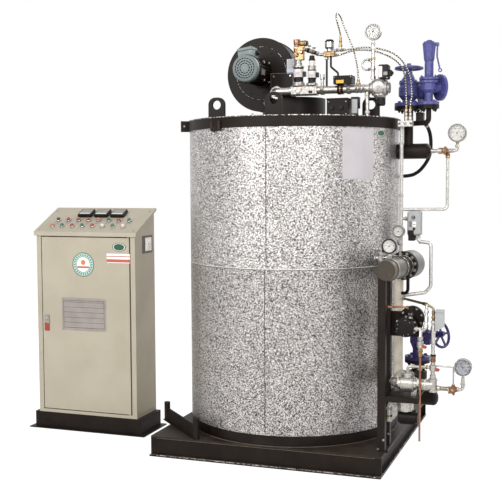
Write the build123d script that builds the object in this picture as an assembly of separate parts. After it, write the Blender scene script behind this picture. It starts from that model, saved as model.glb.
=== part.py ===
from build123d import *
import os
from math import cos, radians, sin, tan

# Once-through steam boiler on a steel skid, with the control cabinet that stands beside it.
# Millimetres, +Z up. The front is -Y. The origin lies on the floor under the middle of the shell.

# Fits
seat = 0.3
door_gap = 5.0

# Shell
shell_radius = 600.0
ring_height = 59.0
ring_inset = 3.0
lower_height = 881.0
upper_height = 789.0
lid_thickness = 12.0
band_height = 60.0
band_thickness = 6.0
ear_reach = 44.0
ear_thickness = 9.0
ear_angle = 203.0
ear_spread = 1.4
ear_bolt = 6.0
clip_angle = 242.0
clip_width = 50.0
clip_thickness = 5.0
clip_drop = 4.0

# Skid, wider than the shell by its margins
side_margin = 45.0
front_margin = 20.0
rear_margin = 190.0
skid_height = 100.0
flange_reach = 23.0
beam_wall = 8.0
top_flange = 40.0
cross_width = 100.0
deck_thickness = 9.0
skid_half_width = shell_radius + side_margin
skid_front = -shell_radius - front_margin
skid_rear = shell_radius + rear_margin

# Lifting lugs: distance in from the shell's edge, angle and height of each
lug_width = 94.0
lug_thickness = 14.0
lug_hole = 48.0
lug_hole_drop = 39.5
lug_rounding = 38.0
lug_rib = 40.0
lug_rib_thickness = 10.0
lug_spots = ((28.0, -119.1, 105.0), (36.6, -83.7, 119.0), (75.0, -20.75, 105.0), (40.0, 107.1, 105.0))

# Forced-draught blower
blower_x = -160.0
blower_rise = 268.0
blower_front = -110.0
scroll_depth = 130.0
scroll_radius = 194.0
scroll_growth = 6.0
scroll_mouth = 150.0
mouth_rise = 90.0
scroll_lip = 5.0
scroll_plate = 4.0
eye_radius = 150.0
eye_plate = 5.0
motor_length = 236.0
motor_radius = 66.0
motor_flange = 82.0
motor_end = 78.0
motor_collar = 10.0
fin_height = 7.0
fin_thickness = 3.0
fin_count = 24
cowl_radius = 74.0
cowl_length = 38.0
cowl_taper = 3.0
terminal_width = 84.0
terminal_length = 98.0
terminal_height = 52.0
terminal_tilt = -8.0

# Windbox under the burner
windbox_radius = 180.0
windbox_height = 125.0
airbox_left = -74.0
airbox_right = 46.0
airbox_depth = 66.0
airbox_height = 130.0
port_angle = 237.0
port_drop = 30.0
port_steps = ((20.0, 22.0), (6.0, 27.0))

# Fuel train
train_y = -230.0
train_rise = 150.0
train_left = -45.0
train_right = 492.0
fuel_pipe_radius = 21.0
inlet_bend = 24.0
inlet_flange = 34.0
inlet_flange_length = 10.0
union_places = ((226.0, 16.0), (322.0, 26.0), (372.0, 16.0))
union_rise = 5.0
valve_block_start = 62.0
valve_block_end = 205.0
valve_block_size = 54.0
valve_block_bevel = 7.0
main_valve_x = 97.0
main_valve_steps = ((19.0, 37.0), (25.0, 26.0), (55.0, 27.0), (9.0, 31.0), (31.0, 20.0))
second_valve_x = 173.0
second_valve_steps = ((12.0, 32.0), (24.0, 21.0), (48.0, 24.0), (24.0, 23.0), (26.0, 17.0), (28.0, 18.0))
plug_x = 232.0
plug_steps = ((70.0, 9.0), (14.0, 12.0))
train_leg_x = 480.0
train_leg_radius = 11.0
train_foot = (6.0, 24.0)
regulator_length = 110.0
regulator_radius = 42.0
regulator_end = 30.0
regulator_collar = 14.0
diaphragm_radius = 34.0
spring_tower_radius = 24.0
spring_tower_drop = 52.0
coil_size = 58.0
coil_height = 76.0
coil_offset = 24.0
hose_tee_x = 431.0
hose_tee_radius = 10.0
hose_tee_height = 34.0

# Pilot valves on the main valve: body, upright union, capped end and the chain that slopes to the manifold
pilot_left = 78.0
pilot_right = 131.0
pilot_depth = 36.0
pilot_height = 74.0
upright_x = 87.0
upright_steps = ((22.0, 14.0), (14.0, 18.0), (26.0, 15.0), (26.0, 18.0))
capped_start = 100.0
capped_rise = 90.0
capped_steps = ((10.0, 12.0), (34.0, 16.0), (6.0, 13.0))
chain_radius = 9.0
chain_union_radius = 14.0

# Pilot manifold with its cap, standing on one leg and joined to the relay box by another
post_x = 271.0
manifold_half = 31.0
manifold_depth = 38.0
manifold_low = 176.0
manifold_height = 29.0
cap_steps = ((15.0, 14.0), (4.0, 22.0), (38.0, 25.0), (6.0, 19.0))
arm_rise = 210.0
arm_reach = 340.0
arm_radius = 8.0
connector_inset = 8.0
connector_steps = ((16.0, 7.0), (14.0, 10.0), (28.0, 7.0))
leg_radius = 6.0
leg_bend = 14.0
leg_inset = 8.0
leg_reach = 40.0
leg_drop = 34.0
sensing_radius = 5.0

# Ignition transformer, relay box and junction box
transformer_x = (272.0, 388.0)
transformer_y = (-290.0, -174.0)
transformer_height = 98.0
relay_x = (302.0, 404.0)
relay_depth = 76.0
relay_height = 44.0
junction_x = (396.0, 436.0)
junction_depth = 48.0
junction_low = 46.0
junction_height = 60.0
junction_foot_x = (404.0, 428.0)
junction_foot_depth = 32.0

# Dial gauges: radius, depth, bezel and stem
bezel = 6.0
dial_recess = 3.0
stem_steps = ((12.0, 7.0), (12.0, 5.0))
top_dial_radius = 43.0
top_dial_depth = 34.0
top_dial_rise = 446.0
top_dial_x = 511.0
siphon_radius = 27.0
siphon_pipe = 5.0
siphon_rise = 275.0
siphon_offset = 32.0
dial_riser_radius = 9.0

# Steam outlet on the right-hand side
header_radius = 42.0
header_cap_steps = ((12.0, 42.0, 34.0), (8.0, 34.0, 18.0))
header_end_offset = 185.0
header_end = shell_radius + header_end_offset
header_z = 1669.0
riser_offset = 61.0
riser_x = shell_radius + riser_offset
riser_radius = 25.0
riser_top = 1895.0
flange_thickness = 20.0
stop_flange_radius = 78.0
safety_offset = 122.0
safety_x = riser_x + safety_offset
safety_y = -76.0
safety_flange_radius = 56.0
outlet_turn = 38.0
branch_radius = 14.0
branch_bend = 24.0
branch_z = 1820.0
drain_cock = ((-71.0, -31.0), (-66.0, -20.0), (8.0, 56.0))
drain_stub = 9.0
manifold_offset = 40.0
manifold_x = shell_radius + manifold_offset
port_offset = 28.0
port_x = manifold_x + port_offset
port_y = -112.0
port_pitch = 22.0
port_top = 1893.0

# Stop valve and safety valve, from their seats upwards
stop_steps = (
    (18.0, 78.0),
    (16.0, 36.0),
    (22.0, 36.0, 54.0),
    (46.0, 56.0),
    (18.0, 54.0, 48.0),
    (12.0, 54.0),
    (46.0, 50.0, 20.0),
    (12.0, 18.0),
)
stop_outlet_rise = 82.0
stop_outlet_steps = ((88.0, 40.0), (17.0, 78.0))
safety_steps = (
    (16.0, 56.0),
    (46.0, 22.0),
    (18.0, 22.0, 40.0),
    (36.0, 41.0),
    (13.0, 52.0),
    (4.0, 34.0),
    (13.0, 52.0),
)
bonnet_steps = ((92.0, 24.0), (6.0, 27.0), (80.0, 28.0, 36.0), (12.0, 36.0, 30.0))
safety_outlet_rise = 94.0
safety_outlet_steps = ((62.0, 27.0), (15.0, 71.0))
lever_offset = 44.0
lever_x = safety_x + lever_offset
lever_z = 2236.0
lever_gap = 3.0
lever_width = 9.0
lever_knee = (-2.0, -64.0)
lever_tip = (15.0, -138.0)
lever_eye = 8.0
lever_ring = 11.0
fork_thickness = 5.0
fork_half_height = 9.0
fork_start = 20.0

# Handwheels
wheel_radius = 79.0
wheel_rim = 8.0
wheel_arms = 5
arm_width = 12.0
arm_thickness = 7.0
stem_radius = 8.0
stem_play = 0.3
stem_nut = (8.0, 12.0)
wheel_hub = 24.0
wheel_hub_radius = 18.0
wheel_gap = 6.0

# Gauge on the steam header
header_gauge_steps = ((20.0, 13.0), (22.0, 10.0), (20.0, 18.0), (30.0, 22.0), (20.0, 12.0))
header_gauge_run = 143.0
header_gauge_elbow = 60.0
header_dial_rise = 95.0
header_dial_radius = 50.0
dial_depth = 38.0
tap_run = 92.0
tap_drop = 28.0
tap_steps = (24.0, 13.0)

# Impulse pipe with its small manifold, and the pressure switch
impulse_radius = 9.0
impulse_bend = 22.0
impulse_low = 1350.0
manifold_y = -90.0
manifold_pipe = 10.0
manifold_bottom = 1090.0
manifold_top = 1800.0
block_height = 30.0
block_left = 14.0
block_right = 64.0
block_front = 38.0
block_back = 12.0
port_nut = (24.0, 10.0)
port_nipple = 8.0
switch_left = 38.0
switch_width = 74.0
switch_front = -119.0
switch_rear = -60.0
switch_bottom = 1210.0
switch_height = 130.0
switch_rounding = 8.0
switch_nipple = 8.0
switch_nipple_z = 1300.0
gland_inset = 5.0
gland_width = 36.0
gland_height = 30.0

# Water level chamber and its posts
chamber_offset = 43.0
chamber_x = shell_radius + chamber_offset
chamber_front = -520.0
chamber_z = 1052.0
chamber_turn = 6.3
chamber_steps = (
    (54.0, 52.0),
    (8.0, 58.0),
    (145.0, 55.0),
    (8.0, 61.0),
    (85.0, 57.0),
    (30.0, 77.0),
    (140.0, 75.0),
)
post_inner = shell_radius
post_outer_offset = 40.0
post_outer = post_inner + post_outer_offset
post_wall = 5.0
post_size = 40.0
front_post_y = -500.0
rear_post_y = -370.0
column_offset = 50.0
column_x = shell_radius + column_offset
column_y = -200.0
column_radius = 26.0
column_foot_radius = 46.0
column_foot = 10.0
level_pipe_offset = 56.0
level_pipe_x = column_x + level_pipe_offset
level_pipe_y = -232.0
level_pipe_radius = 9.0
level_pipe_z = 905.0
level_pipe_bend = 26.0

# Gauges beside the chamber
near_dial_offset = 5.0
near_dial_x = chamber_x + near_dial_offset
near_dial_y = -440.0
near_dial_radius = 39.0
near_dial_depth = 32.0
near_dial_rise = 120.0
near_tee = (30.0, 11.0)
near_arm_rise = 60.0
near_arm_length = 70.0
near_arm_radius = 8.0
near_cock = (34.0, 10.0)
near_cock_x = -44.0
small_dial_offset = 4.0
small_dial_x = manifold_x - small_dial_offset
small_dial_y = -138.0
small_dial_z = 1232.0
small_dial_radius = 34.0
small_dial_depth = 28.0
small_dial_pipe = 7.0

# Conduit from the switch down to the column, as distances from the manifold pipe
conduit_radius = 10.0
conduit_bend = 24.0
conduit_corners = (
    (94.0, -92.0, 1176.0),
    (168.0, -110.0, 1171.0),
    (171.0, -128.0, 935.0),
    (146.0, -160.0, 905.0),
    (32.0, -199.0, 890.0),
)

# Shelf between the posts
shelf_top = 401.0
shelf_right_offset = 208.0
shelf_right = shell_radius + shelf_right_offset
shelf_rear = -150.0
shelf_plate = 6.0
shelf_lip = 28.0

# Feed side
feed_z = 461.0
feed_y = -430.0
feed_offset = 72.0
feed_x = shell_radius + feed_offset
feed_radius = 27.0
feed_bend = 42.0
check_valve_offset = 73.0
check_valve_x = feed_x + check_valve_offset
check_body_steps = ((12.0, 33.0), (66.0, 42.0), (12.0, 33.0))
check_bonnet_steps = ((48.0, 26.0), (10.0, 32.0))
bypass_z = 552.0
bypass_radius = 8.0
bypass_bend = 14.0
strainer_x = 67.0
strainer_drop = 38.0
strainer_radius = 11.0
saddle_y = 90.0
saddle_width = 24.0
gauge_column_offset = 274.0
gauge_column_x = shell_radius + gauge_column_offset
tee_height = 68.0
tee_radius = 22.0
column_steps = (
    (20.0, 16.0),
    (20.0, 12.0),
    (30.0, 18.0),
    (16.0, 12.0),
    (31.0, 13.0),
    (8.0, 15.0),
    (172.7, 10.5),
    (29.0, 8.0),
)
cock_lever_z = 543.0
cock_lever_reach = 30.0
side_z = 447.0
side_steps = ((14.0, 14.0), (40.0, 11.0), (10.0, 14.0), (36.0, 18.0), (12.0, 12.0))
side_pipe_radius = 9.0
side_pipe_bend = 16.0
feed_dial_offset = 152.0
feed_dial_x = gauge_column_x + feed_dial_offset
feed_dial_rise = 103.0
feed_dial_radius = 45.0
star_radius = 26.0
star_thickness = 8.0
star_reach = 34.0
star_stem = 6.0
star_lobes = 5
test_tube_radius = 4.5
test_tube_z = 561.0
test_tube_bend = 8.0
box_left = 12.0
box_width = 42.0
box_depth = 40.0
box_low = 742.0
box_height = 110.0
box_slope = 22.0

# Feed pump on its bracket, and the pipes over it
pump_offset = 133.0
pump_x = shell_radius + pump_offset
pump_z = 757.0
pump_front = -468.0
pump_steps = ((34.0, 48.0), (12.0, 55.0), (150.0, 50.0), (14.0, 62.0), (20.0, 56.0))
casing_offset = (19.0, 37.0)
casing_front = -362.0
casing_thickness = 26.0
casing_radius = 62.0
bracket_y = -335.0
bracket_half = 66.0
bracket_plate = 6.0
nipple_offset = (27.0, 18.0)
nipple_steps = ((12.0, 9.0), (18.0, 12.0), (28.0, 9.0))
copper_radius = 5.0
copper_rise = 104.0
sample_offset = 81.0
sample_x = pump_x + sample_offset
sample_bottom = 613.0
sample_steps = ((20.0, 12.0), (20.0, 14.0), (46.0, 17.0), (16.0, 14.0))
sample_radius = 9.0
sample_lever = 30.0
copper_drop = 440.0
link_radius = 7.0
link_bend = 12.0
link_z = 878.0
stack_offset = 105.0
stack_x = pump_x + stack_offset
stack_steps = ((18.0, 13.0), (14.0, 8.0), (30.0, 12.0), (16.0, 8.0), (14.0, 12.0))

# Circulating pump under the shelf
bowl_offset = 135.0
bowl_x = shell_radius + bowl_offset
bowl_steps = ((16.0, 14.0), (58.0, 41.0))
bowl_neck = 22.0
bowl_motor_z = 282.0
bowl_motor_length = 102.0
bowl_motor_radius = 32.0
bowl_motor_end = 28.0
bowl_motor_cap = 8.0
bowl_motor_offset = 14.0
hanging_offset = 50.0
hanging_x = shell_radius + hanging_offset
hanging_radius = 12.0
hanging_bend = 22.0
hanging_rise = 45.0
hanging_length = 100.0

# Lower header and feed valve
low_header_z = 297.0
low_header_end_offset = 237.0
low_header_end = shell_radius + low_header_end_offset
valve_offset = 120.0
valve_x = shell_radius + valve_offset
low_flange_z = 512.0
low_flange = 18.0
low_flange_radius = 70.0
low_riser_radius = 30.0
low_union_z = 404.0
low_union = 40.0
low_union_radius = 54.0
valve_steps = ((18.0, 70.0), (40.0, 27.0), (34.0, 27.0, 40.0), (48.0, 42.0), (14.0, 42.0, 20.0))
valve_heart_rise = 112.0
valve_turn = -29.0
valve_tilt = 16.0
valve_bonnet_steps = ((60.0, 34.0), (16.0, 44.0), (30.0, 30.0, 16.0), (40.0, 13.0))

# Kick plate across the skid's front left corner, with its two stubs
kick_left = (-shell_radius - 112.0, -240.0)
kick_right = (-shell_radius + 228.0, -shell_radius + 10.0)
kick_height = 75.0
kick_thickness = 6.0
kick_foot = 20.0
stub_radius = 17.0
stub_heights = (108.0, 118.0)
stub_inset = 10.0

# Control cabinet
cabinet_left = -1562.0
cabinet_right = -898.0
cabinet_front = -258.0
cabinet_depth = 265.0
plinth_height = 98.0
front_height = 1096.0
panel_rise = 131.0
cabinet_wall = 3.0
frame_width = 30.0
door_thickness = 16.0
door_top = 1176.0
door_bottom = 122.0
hinge_gap = 9.0
hinge_radius = 4.0
hinge_pin = 14.0
handle_inset = 22.0
handle_width = 24.0
handle_reach = 7.0
handle_low = 605.0
handle_height = 92.0
panel_overhang = 12.0
panel_thickness = 14.0
plinth_reach = 28.0
plinth_margin = 30.0
plinth_wall = 6.0

deck_top = skid_height + deck_thickness
shell_bottom = deck_top + ring_height
seam_z = shell_bottom + lower_height
lid_bottom = seam_z + upper_height
lid_top = lid_bottom + lid_thickness

train_z = lid_top + train_rise
connector_x = arm_reach - connector_inset
lever_pivot = (lever_x, safety_y, lever_z)


def on_circle(radius, angle):
    return radius * cos(radians(angle)), radius * sin(radians(angle))


# Routes of the free hoses
loop_route = (
    (connector_x, train_y, train_z + 268.3),
    (connector_x, train_y, 2304),
    (325, -264, 2340),
    (315, -267, 2389),
    (315, -227, 2412),
    (324, -187, 2391),
    (338, -184, 2345),
    (357, -185, 2305),
    (376, -187, 2260),
    (396, -191, 2212),
    (415, -207, 2146),
    (hose_tee_x, train_y, 2082),
    (hose_tee_x, train_y, train_z + 34.3),
)
upper_sensing_route = (
    (arm_reach + seat, train_y, train_z + arm_rise),
    (388, train_y, train_z + arm_rise),
    (443, -220, 2220),
    (512, -204, 2217),
    (590, -186, 2197),
    (640, -165, 2165),
    (670, -142, 2120),
    (688, -122, 2070),
    (697, -112, 2012),
    (698, -109, 1962),
    (port_x + port_pitch, port_y, 1925),
    (port_x + port_pitch, port_y, port_top),
)
lower_sensing_route = (
    (post_x + manifold_half + seat, train_y, train_z + 184),
    (334, train_y, train_z + 184),
    (374, -224, 2200),
    (428, -218, 2209),
    (510, -197, 2203),
    (588, -178, 2172),
    (632, -152, 2140),
    (654, -126, 2100),
    (663, -112, 2050),
    (664, -107, 1995),
    (667, -109, 1945),
    (port_x, port_y, 1922),
    (port_x, port_y, port_top),
)
drain_route = (
    (safety_x - 21, -30, 1812),
    (safety_x - 15, 10, 1795),
    (safety_x - 8, 45, 1755),
    (safety_x - 7, 60, 1700),
    (safety_x - 15, 64, 1640),
    (737, 73, 1590),
    (700, 88, 1553),
    (*on_circle(shell_radius + 58.6, 8.5), 1532),
    (*on_circle(shell_radius + 0.9, 8.5), 1532),
)


def block(x0, x1, y0, y1, z0, z1):
    """A box between its lowest and highest corners."""
    centre = Pos((x0 + x1) / 2, (y0 + y1) / 2, (z0 + z1) / 2)
    return centre * Box(x1 - x0, y1 - y0, z1 - z0)


def rod(start, end, radius):
    """A round bar between two points."""
    way = Vector(*end) - Vector(*start)
    return extrude(Plane(origin=start, z_dir=way) * Circle(radius), amount=way.length)


def turned(start, direction, steps):
    """Coaxial steps, each a length and one or two radii, from start along direction."""
    outline = [(0.0, 0.0)]
    along = 0.0
    for length, *radii in steps:
        for point in ((radii[0], along), (radii[-1], along + length)):
            if point != outline[-1]:
                outline.append(point)
        along += length
    outline.append((0.0, along))
    profile = make_face(Plane.XZ * Polyline(*outline, close=True))
    return Plane(origin=start, z_dir=direction).location * revolve(profile, Axis.Z, 360)


def pipe(points, radius, bend):
    """A pipe of straight runs joined by bends of one radius."""
    path = FilletPolyline(*points, radius=bend)
    return sweep(Plane(origin=path @ 0, z_dir=path % 0) * Circle(radius), path=path)


def hose(name, points, radius):
    """A free hose whose bends are as large as its runs allow."""
    corners = [Vector(*point) for point in points]
    bends = []
    for before, here, after in zip(corners, corners[1:], corners[2:]):
        run = min((here - before).length, (after - here).length)
        half_turn = radians((here - before).get_angle(after - here)) / 2
        bends.append(0.45 * run / tan(half_turn))
    print(name, "bend radii", [round(bend) for bend in bends])
    path = FilletPolyline(*corners, radius=bends)
    print(name, "length", round(path.length))
    return sweep(Plane(origin=path @ 0, z_dir=path % 0) * Circle(radius), path=path)


def shell_space(clearance=seat):
    """The room that the jacket takes, for ending what meets it."""
    return Pos(0, 0, lid_top / 2) * Cylinder(shell_radius + clearance, lid_top)


# Skid beams: a plain web with a foot flange outwards, closed by the deck above

def end_beam(tip, outward):
    face = tip - outward * flange_reach
    inner = face - outward * beam_wall
    ledge = inner - outward * top_flange
    web = block(-skid_half_width, skid_half_width, *sorted((face, inner)), 0, skid_height)
    foot = block(-skid_half_width, skid_half_width, *sorted((tip, face)), 0, beam_wall)
    side = skid_half_width - flange_reach - beam_wall
    rest = block(-side, side, *sorted((inner, ledge)), skid_height - beam_wall, skid_height)
    return web + foot + rest


def side_beam(outward):
    tip = outward * skid_half_width
    face = tip - outward * flange_reach
    inner = face - outward * beam_wall
    front = skid_front + flange_reach + beam_wall
    rear = skid_rear - flange_reach - beam_wall
    web = block(*sorted((face, inner)), front, rear, 0, skid_height)
    foot = block(*sorted((tip, face)), front, rear, 0, beam_wall)
    head = block(*sorted((tip, face)), front, rear, skid_height - beam_wall, skid_height)
    return web + foot + head


def cross_beam():
    half = skid_half_width - flange_reach - beam_wall
    web = block(-half, half, -beam_wall / 2, beam_wall / 2, 0, skid_height)
    foot = block(-half, half, -cross_width / 2, cross_width / 2, 0, beam_wall)
    head = block(-half, half, -cross_width / 2, cross_width / 2, skid_height - beam_wall, skid_height)
    return web + foot + head


def deck():
    front = skid_front + flange_reach
    rear = skid_rear - flange_reach
    return block(-skid_half_width, skid_half_width, front, rear, skid_height, deck_top)


# Shell: base ring, two courses of jacket over the insulated vessel, a lid and its clamping band

def course(bottom, top, inset=0.0):
    return Pos(0, 0, (bottom + top) / 2) * Cylinder(shell_radius - inset, top - bottom)


def top_band():
    inner = shell_radius + seat
    outer = inner + band_thickness
    low = lid_top - band_height
    middle = lid_top - band_height / 2
    band = Pos(0, 0, middle) * Cylinder(outer, band_height)
    ear = block(outer - 1, outer + ear_reach, -ear_thickness / 2, ear_thickness / 2, low, lid_top)
    bolt_hole = Pos(outer + ear_reach * 0.55, 0, middle) * Rot(90, 0, 0)
    ear -= bolt_hole * Cylinder(ear_bolt, ear_thickness * 3)
    for side in (-1, 1):
        band += Rot(0, 0, ear_angle + side * ear_spread) * ear
    half = clip_width / 2
    clip = block(outer - 1, outer + clip_thickness, -half, half, low - clip_drop, lid_top - clip_drop)
    band += Rot(0, 0, clip_angle) * clip
    return band - Pos(0, 0, lid_top / 2) * Cylinder(inner, lid_top + 100)


def lifting_lug(inset, angle, height):
    outline = Pos(0, height / 2) * Rectangle(lug_width, height)
    outline = fillet(outline.vertices().group_by(Axis.Y)[-1], lug_rounding)
    outline -= Pos(0, height - lug_hole_drop) * Circle(lug_hole / 2)
    plate = extrude(Plane.XZ * outline, amount=lug_thickness / 2, both=True)
    rib = Polyline((0, 0), (lug_rib, 0), (0, lug_rib), close=True)
    rib = extrude(Plane.YZ * make_face(rib), amount=lug_rib_thickness / 2, both=True)
    rib = Pos(0, lug_thickness / 2, 0) * rib
    return Pos(*on_circle(shell_radius - inset, angle), lid_top) * (plate + rib)


# Blower: a scroll built from quarter arcs that grow, its motor and the windbox under it

def scroll_outline(grow):
    first = scroll_radius + grow
    second = first + scroll_growth
    third = second + scroll_growth
    step = scroll_growth
    low = -step - third
    arcs = Curve() + CenterArc((0, 0), first, 0, 90)
    arcs += CenterArc((0, -step), second, 90, 90)
    arcs += CenterArc((step, -step), third, 180, 90)
    mouth = scroll_mouth + grow
    rim = Polyline((step, low), (mouth, low), (mouth, low + mouth_rise), (first, 0))
    return make_face(Plane.XZ * (arcs + rim))


def scroll_solid(grow, front, rear):
    face = Pos(blower_x, front, lid_top + blower_rise) * scroll_outline(grow)
    return extrude(face, amount=rear - front, dir=(0, 1, 0))


def blower_scroll():
    rear = blower_front + scroll_depth
    body = scroll_solid(0, blower_front, rear)
    body += scroll_solid(scroll_lip, blower_front, blower_front + scroll_plate)
    body += scroll_solid(scroll_lip, rear - scroll_plate, rear)
    eye = (blower_x, blower_front, lid_top + blower_rise)
    return body + turned(eye, (0, -1, 0), [(eye_plate, eye_radius)])


def blower_motor():
    z = lid_top + blower_rise
    start = blower_front - eye_plate
    barrel = motor_length - 2 * motor_collar
    steps = [
        (motor_collar, motor_flange),
        (barrel, motor_radius),
        (motor_collar, motor_end),
        (cowl_length, cowl_radius, cowl_radius - cowl_taper),
    ]
    body = turned((blower_x, start, z), (0, -1, 0), steps)
    middle = start - motor_length / 2
    half = fin_thickness / 2
    fin = block(-half, half, -barrel / 2, barrel / 2, 0, motor_radius + fin_height)
    for index in range(fin_count):
        body += Pos(blower_x, middle, z) * Rot(0, index * 360 / fin_count, 0) * fin
    front = -motor_length / 2 + 2
    low = motor_radius - fin_height
    high = motor_radius + terminal_height
    box = block(-terminal_width / 2, terminal_width / 2, front, front + terminal_length, low, high)
    return body + Pos(blower_x, middle, z) * Rot(0, terminal_tilt, 0) * box


def windbox():
    body = Pos(0, 0, lid_top + windbox_height / 2) * Cylinder(windbox_radius, windbox_height)
    front = blower_front - scroll_lip - airbox_depth
    top = lid_top + windbox_height
    body += block(airbox_left, airbox_right, front, blower_front - seat, top - 1, top + airbox_height)
    port = (*on_circle(windbox_radius - 5, port_angle), top - port_drop)
    body += turned(port, (*on_circle(1, port_angle), 0), port_steps)
    room = scroll_solid(scroll_lip + seat, blower_front - seat, blower_front + scroll_depth + seat)
    eye = (blower_x, blower_front, lid_top + blower_rise)
    return body - room - turned(eye, (0, -1, 0), [(eye_plate + seat, eye_radius + seat)])


# Fuel train: pipe, valve block, regulator, pilot valves, ignition boxes and gauge

def along_train(x, rise=0.0, reach=0.0):
    return (x, train_y + reach, train_z + rise)


def fuel_pipe():
    front = blower_front - scroll_lip - airbox_depth
    start = (train_left, front - seat, train_z)
    corners = [start, along_train(train_left), along_train(valve_block_start)]
    inlet = pipe(corners, fuel_pipe_radius, inlet_bend)
    inlet += turned(start, (0, -1, 0), [(inlet_flange_length, inlet_flange)])
    outlet = rod(along_train(valve_block_end), along_train(train_right), fuel_pipe_radius)
    for x, length in union_places:
        outlet += turned(along_train(x), (1, 0, 0), [(length, fuel_pipe_radius + union_rise)])
    outlet += rod(along_train(train_leg_x), (train_leg_x, train_y, lid_top), train_leg_radius)
    outlet += turned((train_leg_x, train_y, lid_top), (0, 0, 1), [train_foot])
    outlet += turned(along_train(hose_tee_x), (0, 0, 1), [(hose_tee_height, hose_tee_radius)])
    outlet += turned(along_train(plug_x), (0, 0, 1), plug_steps)
    return inlet, outlet


def fuel_valves():
    half = valve_block_size / 2
    low, high = train_z - half, train_z + half
    body = block(valve_block_start, valve_block_end, train_y - half, train_y + half, low, high)
    body = chamfer(body.edges().filter_by(Axis.X), valve_block_bevel)
    body += turned((main_valve_x, train_y, high - 1), (0, 0, 1), main_valve_steps)
    return body + turned((second_valve_x, train_y, high - 1), (0, 0, 1), second_valve_steps)


def pilot_base():
    return train_z + valve_block_size / 2 - 1 + sum(step[0] for step in main_valve_steps) + seat


def pilot_valves():
    base = pilot_base()
    half = pilot_depth / 2
    body = block(pilot_left, pilot_right, train_y - half, train_y + half, base, base + pilot_height)
    body += turned((upright_x, train_y, base + pilot_height / 3), (0, 0, 1), upright_steps)
    body += turned((capped_start, train_y, base + capped_rise), (1, 0, 0), capped_steps)
    top = base + pilot_height - 1
    body += block(capped_start, pilot_right, train_y - 8, train_y + 8, top, base + capped_rise)
    start = Vector(pilot_right - 1, train_y, base + pilot_height * 0.8)
    end = Vector(post_x - manifold_half - seat, train_y, train_z + manifold_low + manifold_height / 2)
    corner = Vector(end.X - 2 * chain_radius, train_y, end.Z)
    body += pipe([start, corner, end], chain_radius, chain_radius + 1)
    way = corner - start
    for share in (0.15, 0.45, 0.75):
        body += turned(start + way * share, way, [(chain_union_radius, chain_union_radius)])
    return body


def pilot_regulator():
    low = train_z + manifold_low
    high = low + manifold_height
    depth = manifold_depth / 2
    body = block(post_x - manifold_half, post_x + manifold_half, train_y - depth, train_y + depth, low, high)
    body += turned((post_x, train_y, high), (0, 0, 1), cap_steps)
    arm_z = train_z + arm_rise
    body += rod((post_x, train_y, arm_z), (arm_reach, train_y, arm_z), arm_radius)
    body += turned((connector_x, train_y, arm_z), (0, 0, 1), connector_steps)
    left = post_x - manifold_half + 2 * leg_inset
    body += rod((left, train_y, train_z + fuel_pipe_radius + seat), (left, train_y, low + 8), leg_radius)
    top = train_z + fuel_pipe_radius + union_rise + relay_height + 2 * seat
    right = post_x + leg_inset
    knee = top + leg_radius * 3
    corners = [
        (right, train_y, low + 8),
        (right, train_y, knee + leg_drop),
        (right + leg_reach, train_y, knee),
        (right + leg_reach, train_y, top),
    ]
    return body + pipe(corners, leg_radius, leg_bend)


def gas_regulator():
    r = regulator_radius
    barrel = regulator_length - 2 * regulator_collar
    steps = [(regulator_collar, regulator_end), (barrel, r), (regulator_collar, regulator_end)]
    body = turned(along_train(train_right), (1, 0, 0), steps)
    middle = train_right + regulator_length / 2
    body += turned(along_train(middle, -r - 10), (0, 0, 1), [(2 * r + 14, diaphragm_radius)])
    tower = along_train(middle + 8, -r - spring_tower_drop)
    body += turned(tower, (0, 0, 1), [(spring_tower_drop, spring_tower_radius)])
    top = train_z + r + 4
    half = coil_size / 2
    x = middle + coil_offset
    return body + block(x - half, x + half, train_y - half, train_y + half, top - 2, top + coil_height)


def ignition_boxes():
    solids = [block(*transformer_x, *transformer_y, lid_top, lid_top + transformer_height)]
    high = train_z + fuel_pipe_radius + union_rise + seat
    half = relay_depth / 2
    solids.append(block(*relay_x, train_y - half, train_y + half, high, high + relay_height))
    half = junction_depth / 2
    low = lid_top + junction_low
    small = block(*junction_x, train_y - half, train_y + half, low, low + junction_height)
    half = junction_foot_depth / 2
    solids.append(small + block(*junction_foot_x, train_y - half, train_y + half, lid_top, low + 1))
    return solids


def gauge(centre, radius, depth):
    """A dial gauge that faces the front, with its stem below."""
    x, y, z = centre
    body = turned((x, y + depth / 2, z), (0, -1, 0), [(depth - bezel, radius), (bezel, radius - bezel / 2)])
    body -= turned((x, y - depth / 2, z), (0, 1, 0), [(dial_recess, radius - bezel)])
    return body + turned((x, y, z - radius - 16), (0, 0, 1), stem_steps)


def top_gauge():
    foot = train_z + regulator_radius + seat + 4
    centre = (top_dial_x, train_y, lid_top + top_dial_rise)
    body = gauge(centre, top_dial_radius, top_dial_depth)
    top = centre[2] - top_dial_radius - 14
    body += rod((top_dial_x, train_y, foot), (top_dial_x, train_y, top), dial_riser_radius)
    place = Pos(top_dial_x - siphon_offset, train_y, lid_top + siphon_rise)
    return body + place * Rot(90, 0, 0) * Torus(siphon_radius, siphon_pipe)


# Steam header, riser and the two valves on it

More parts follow.
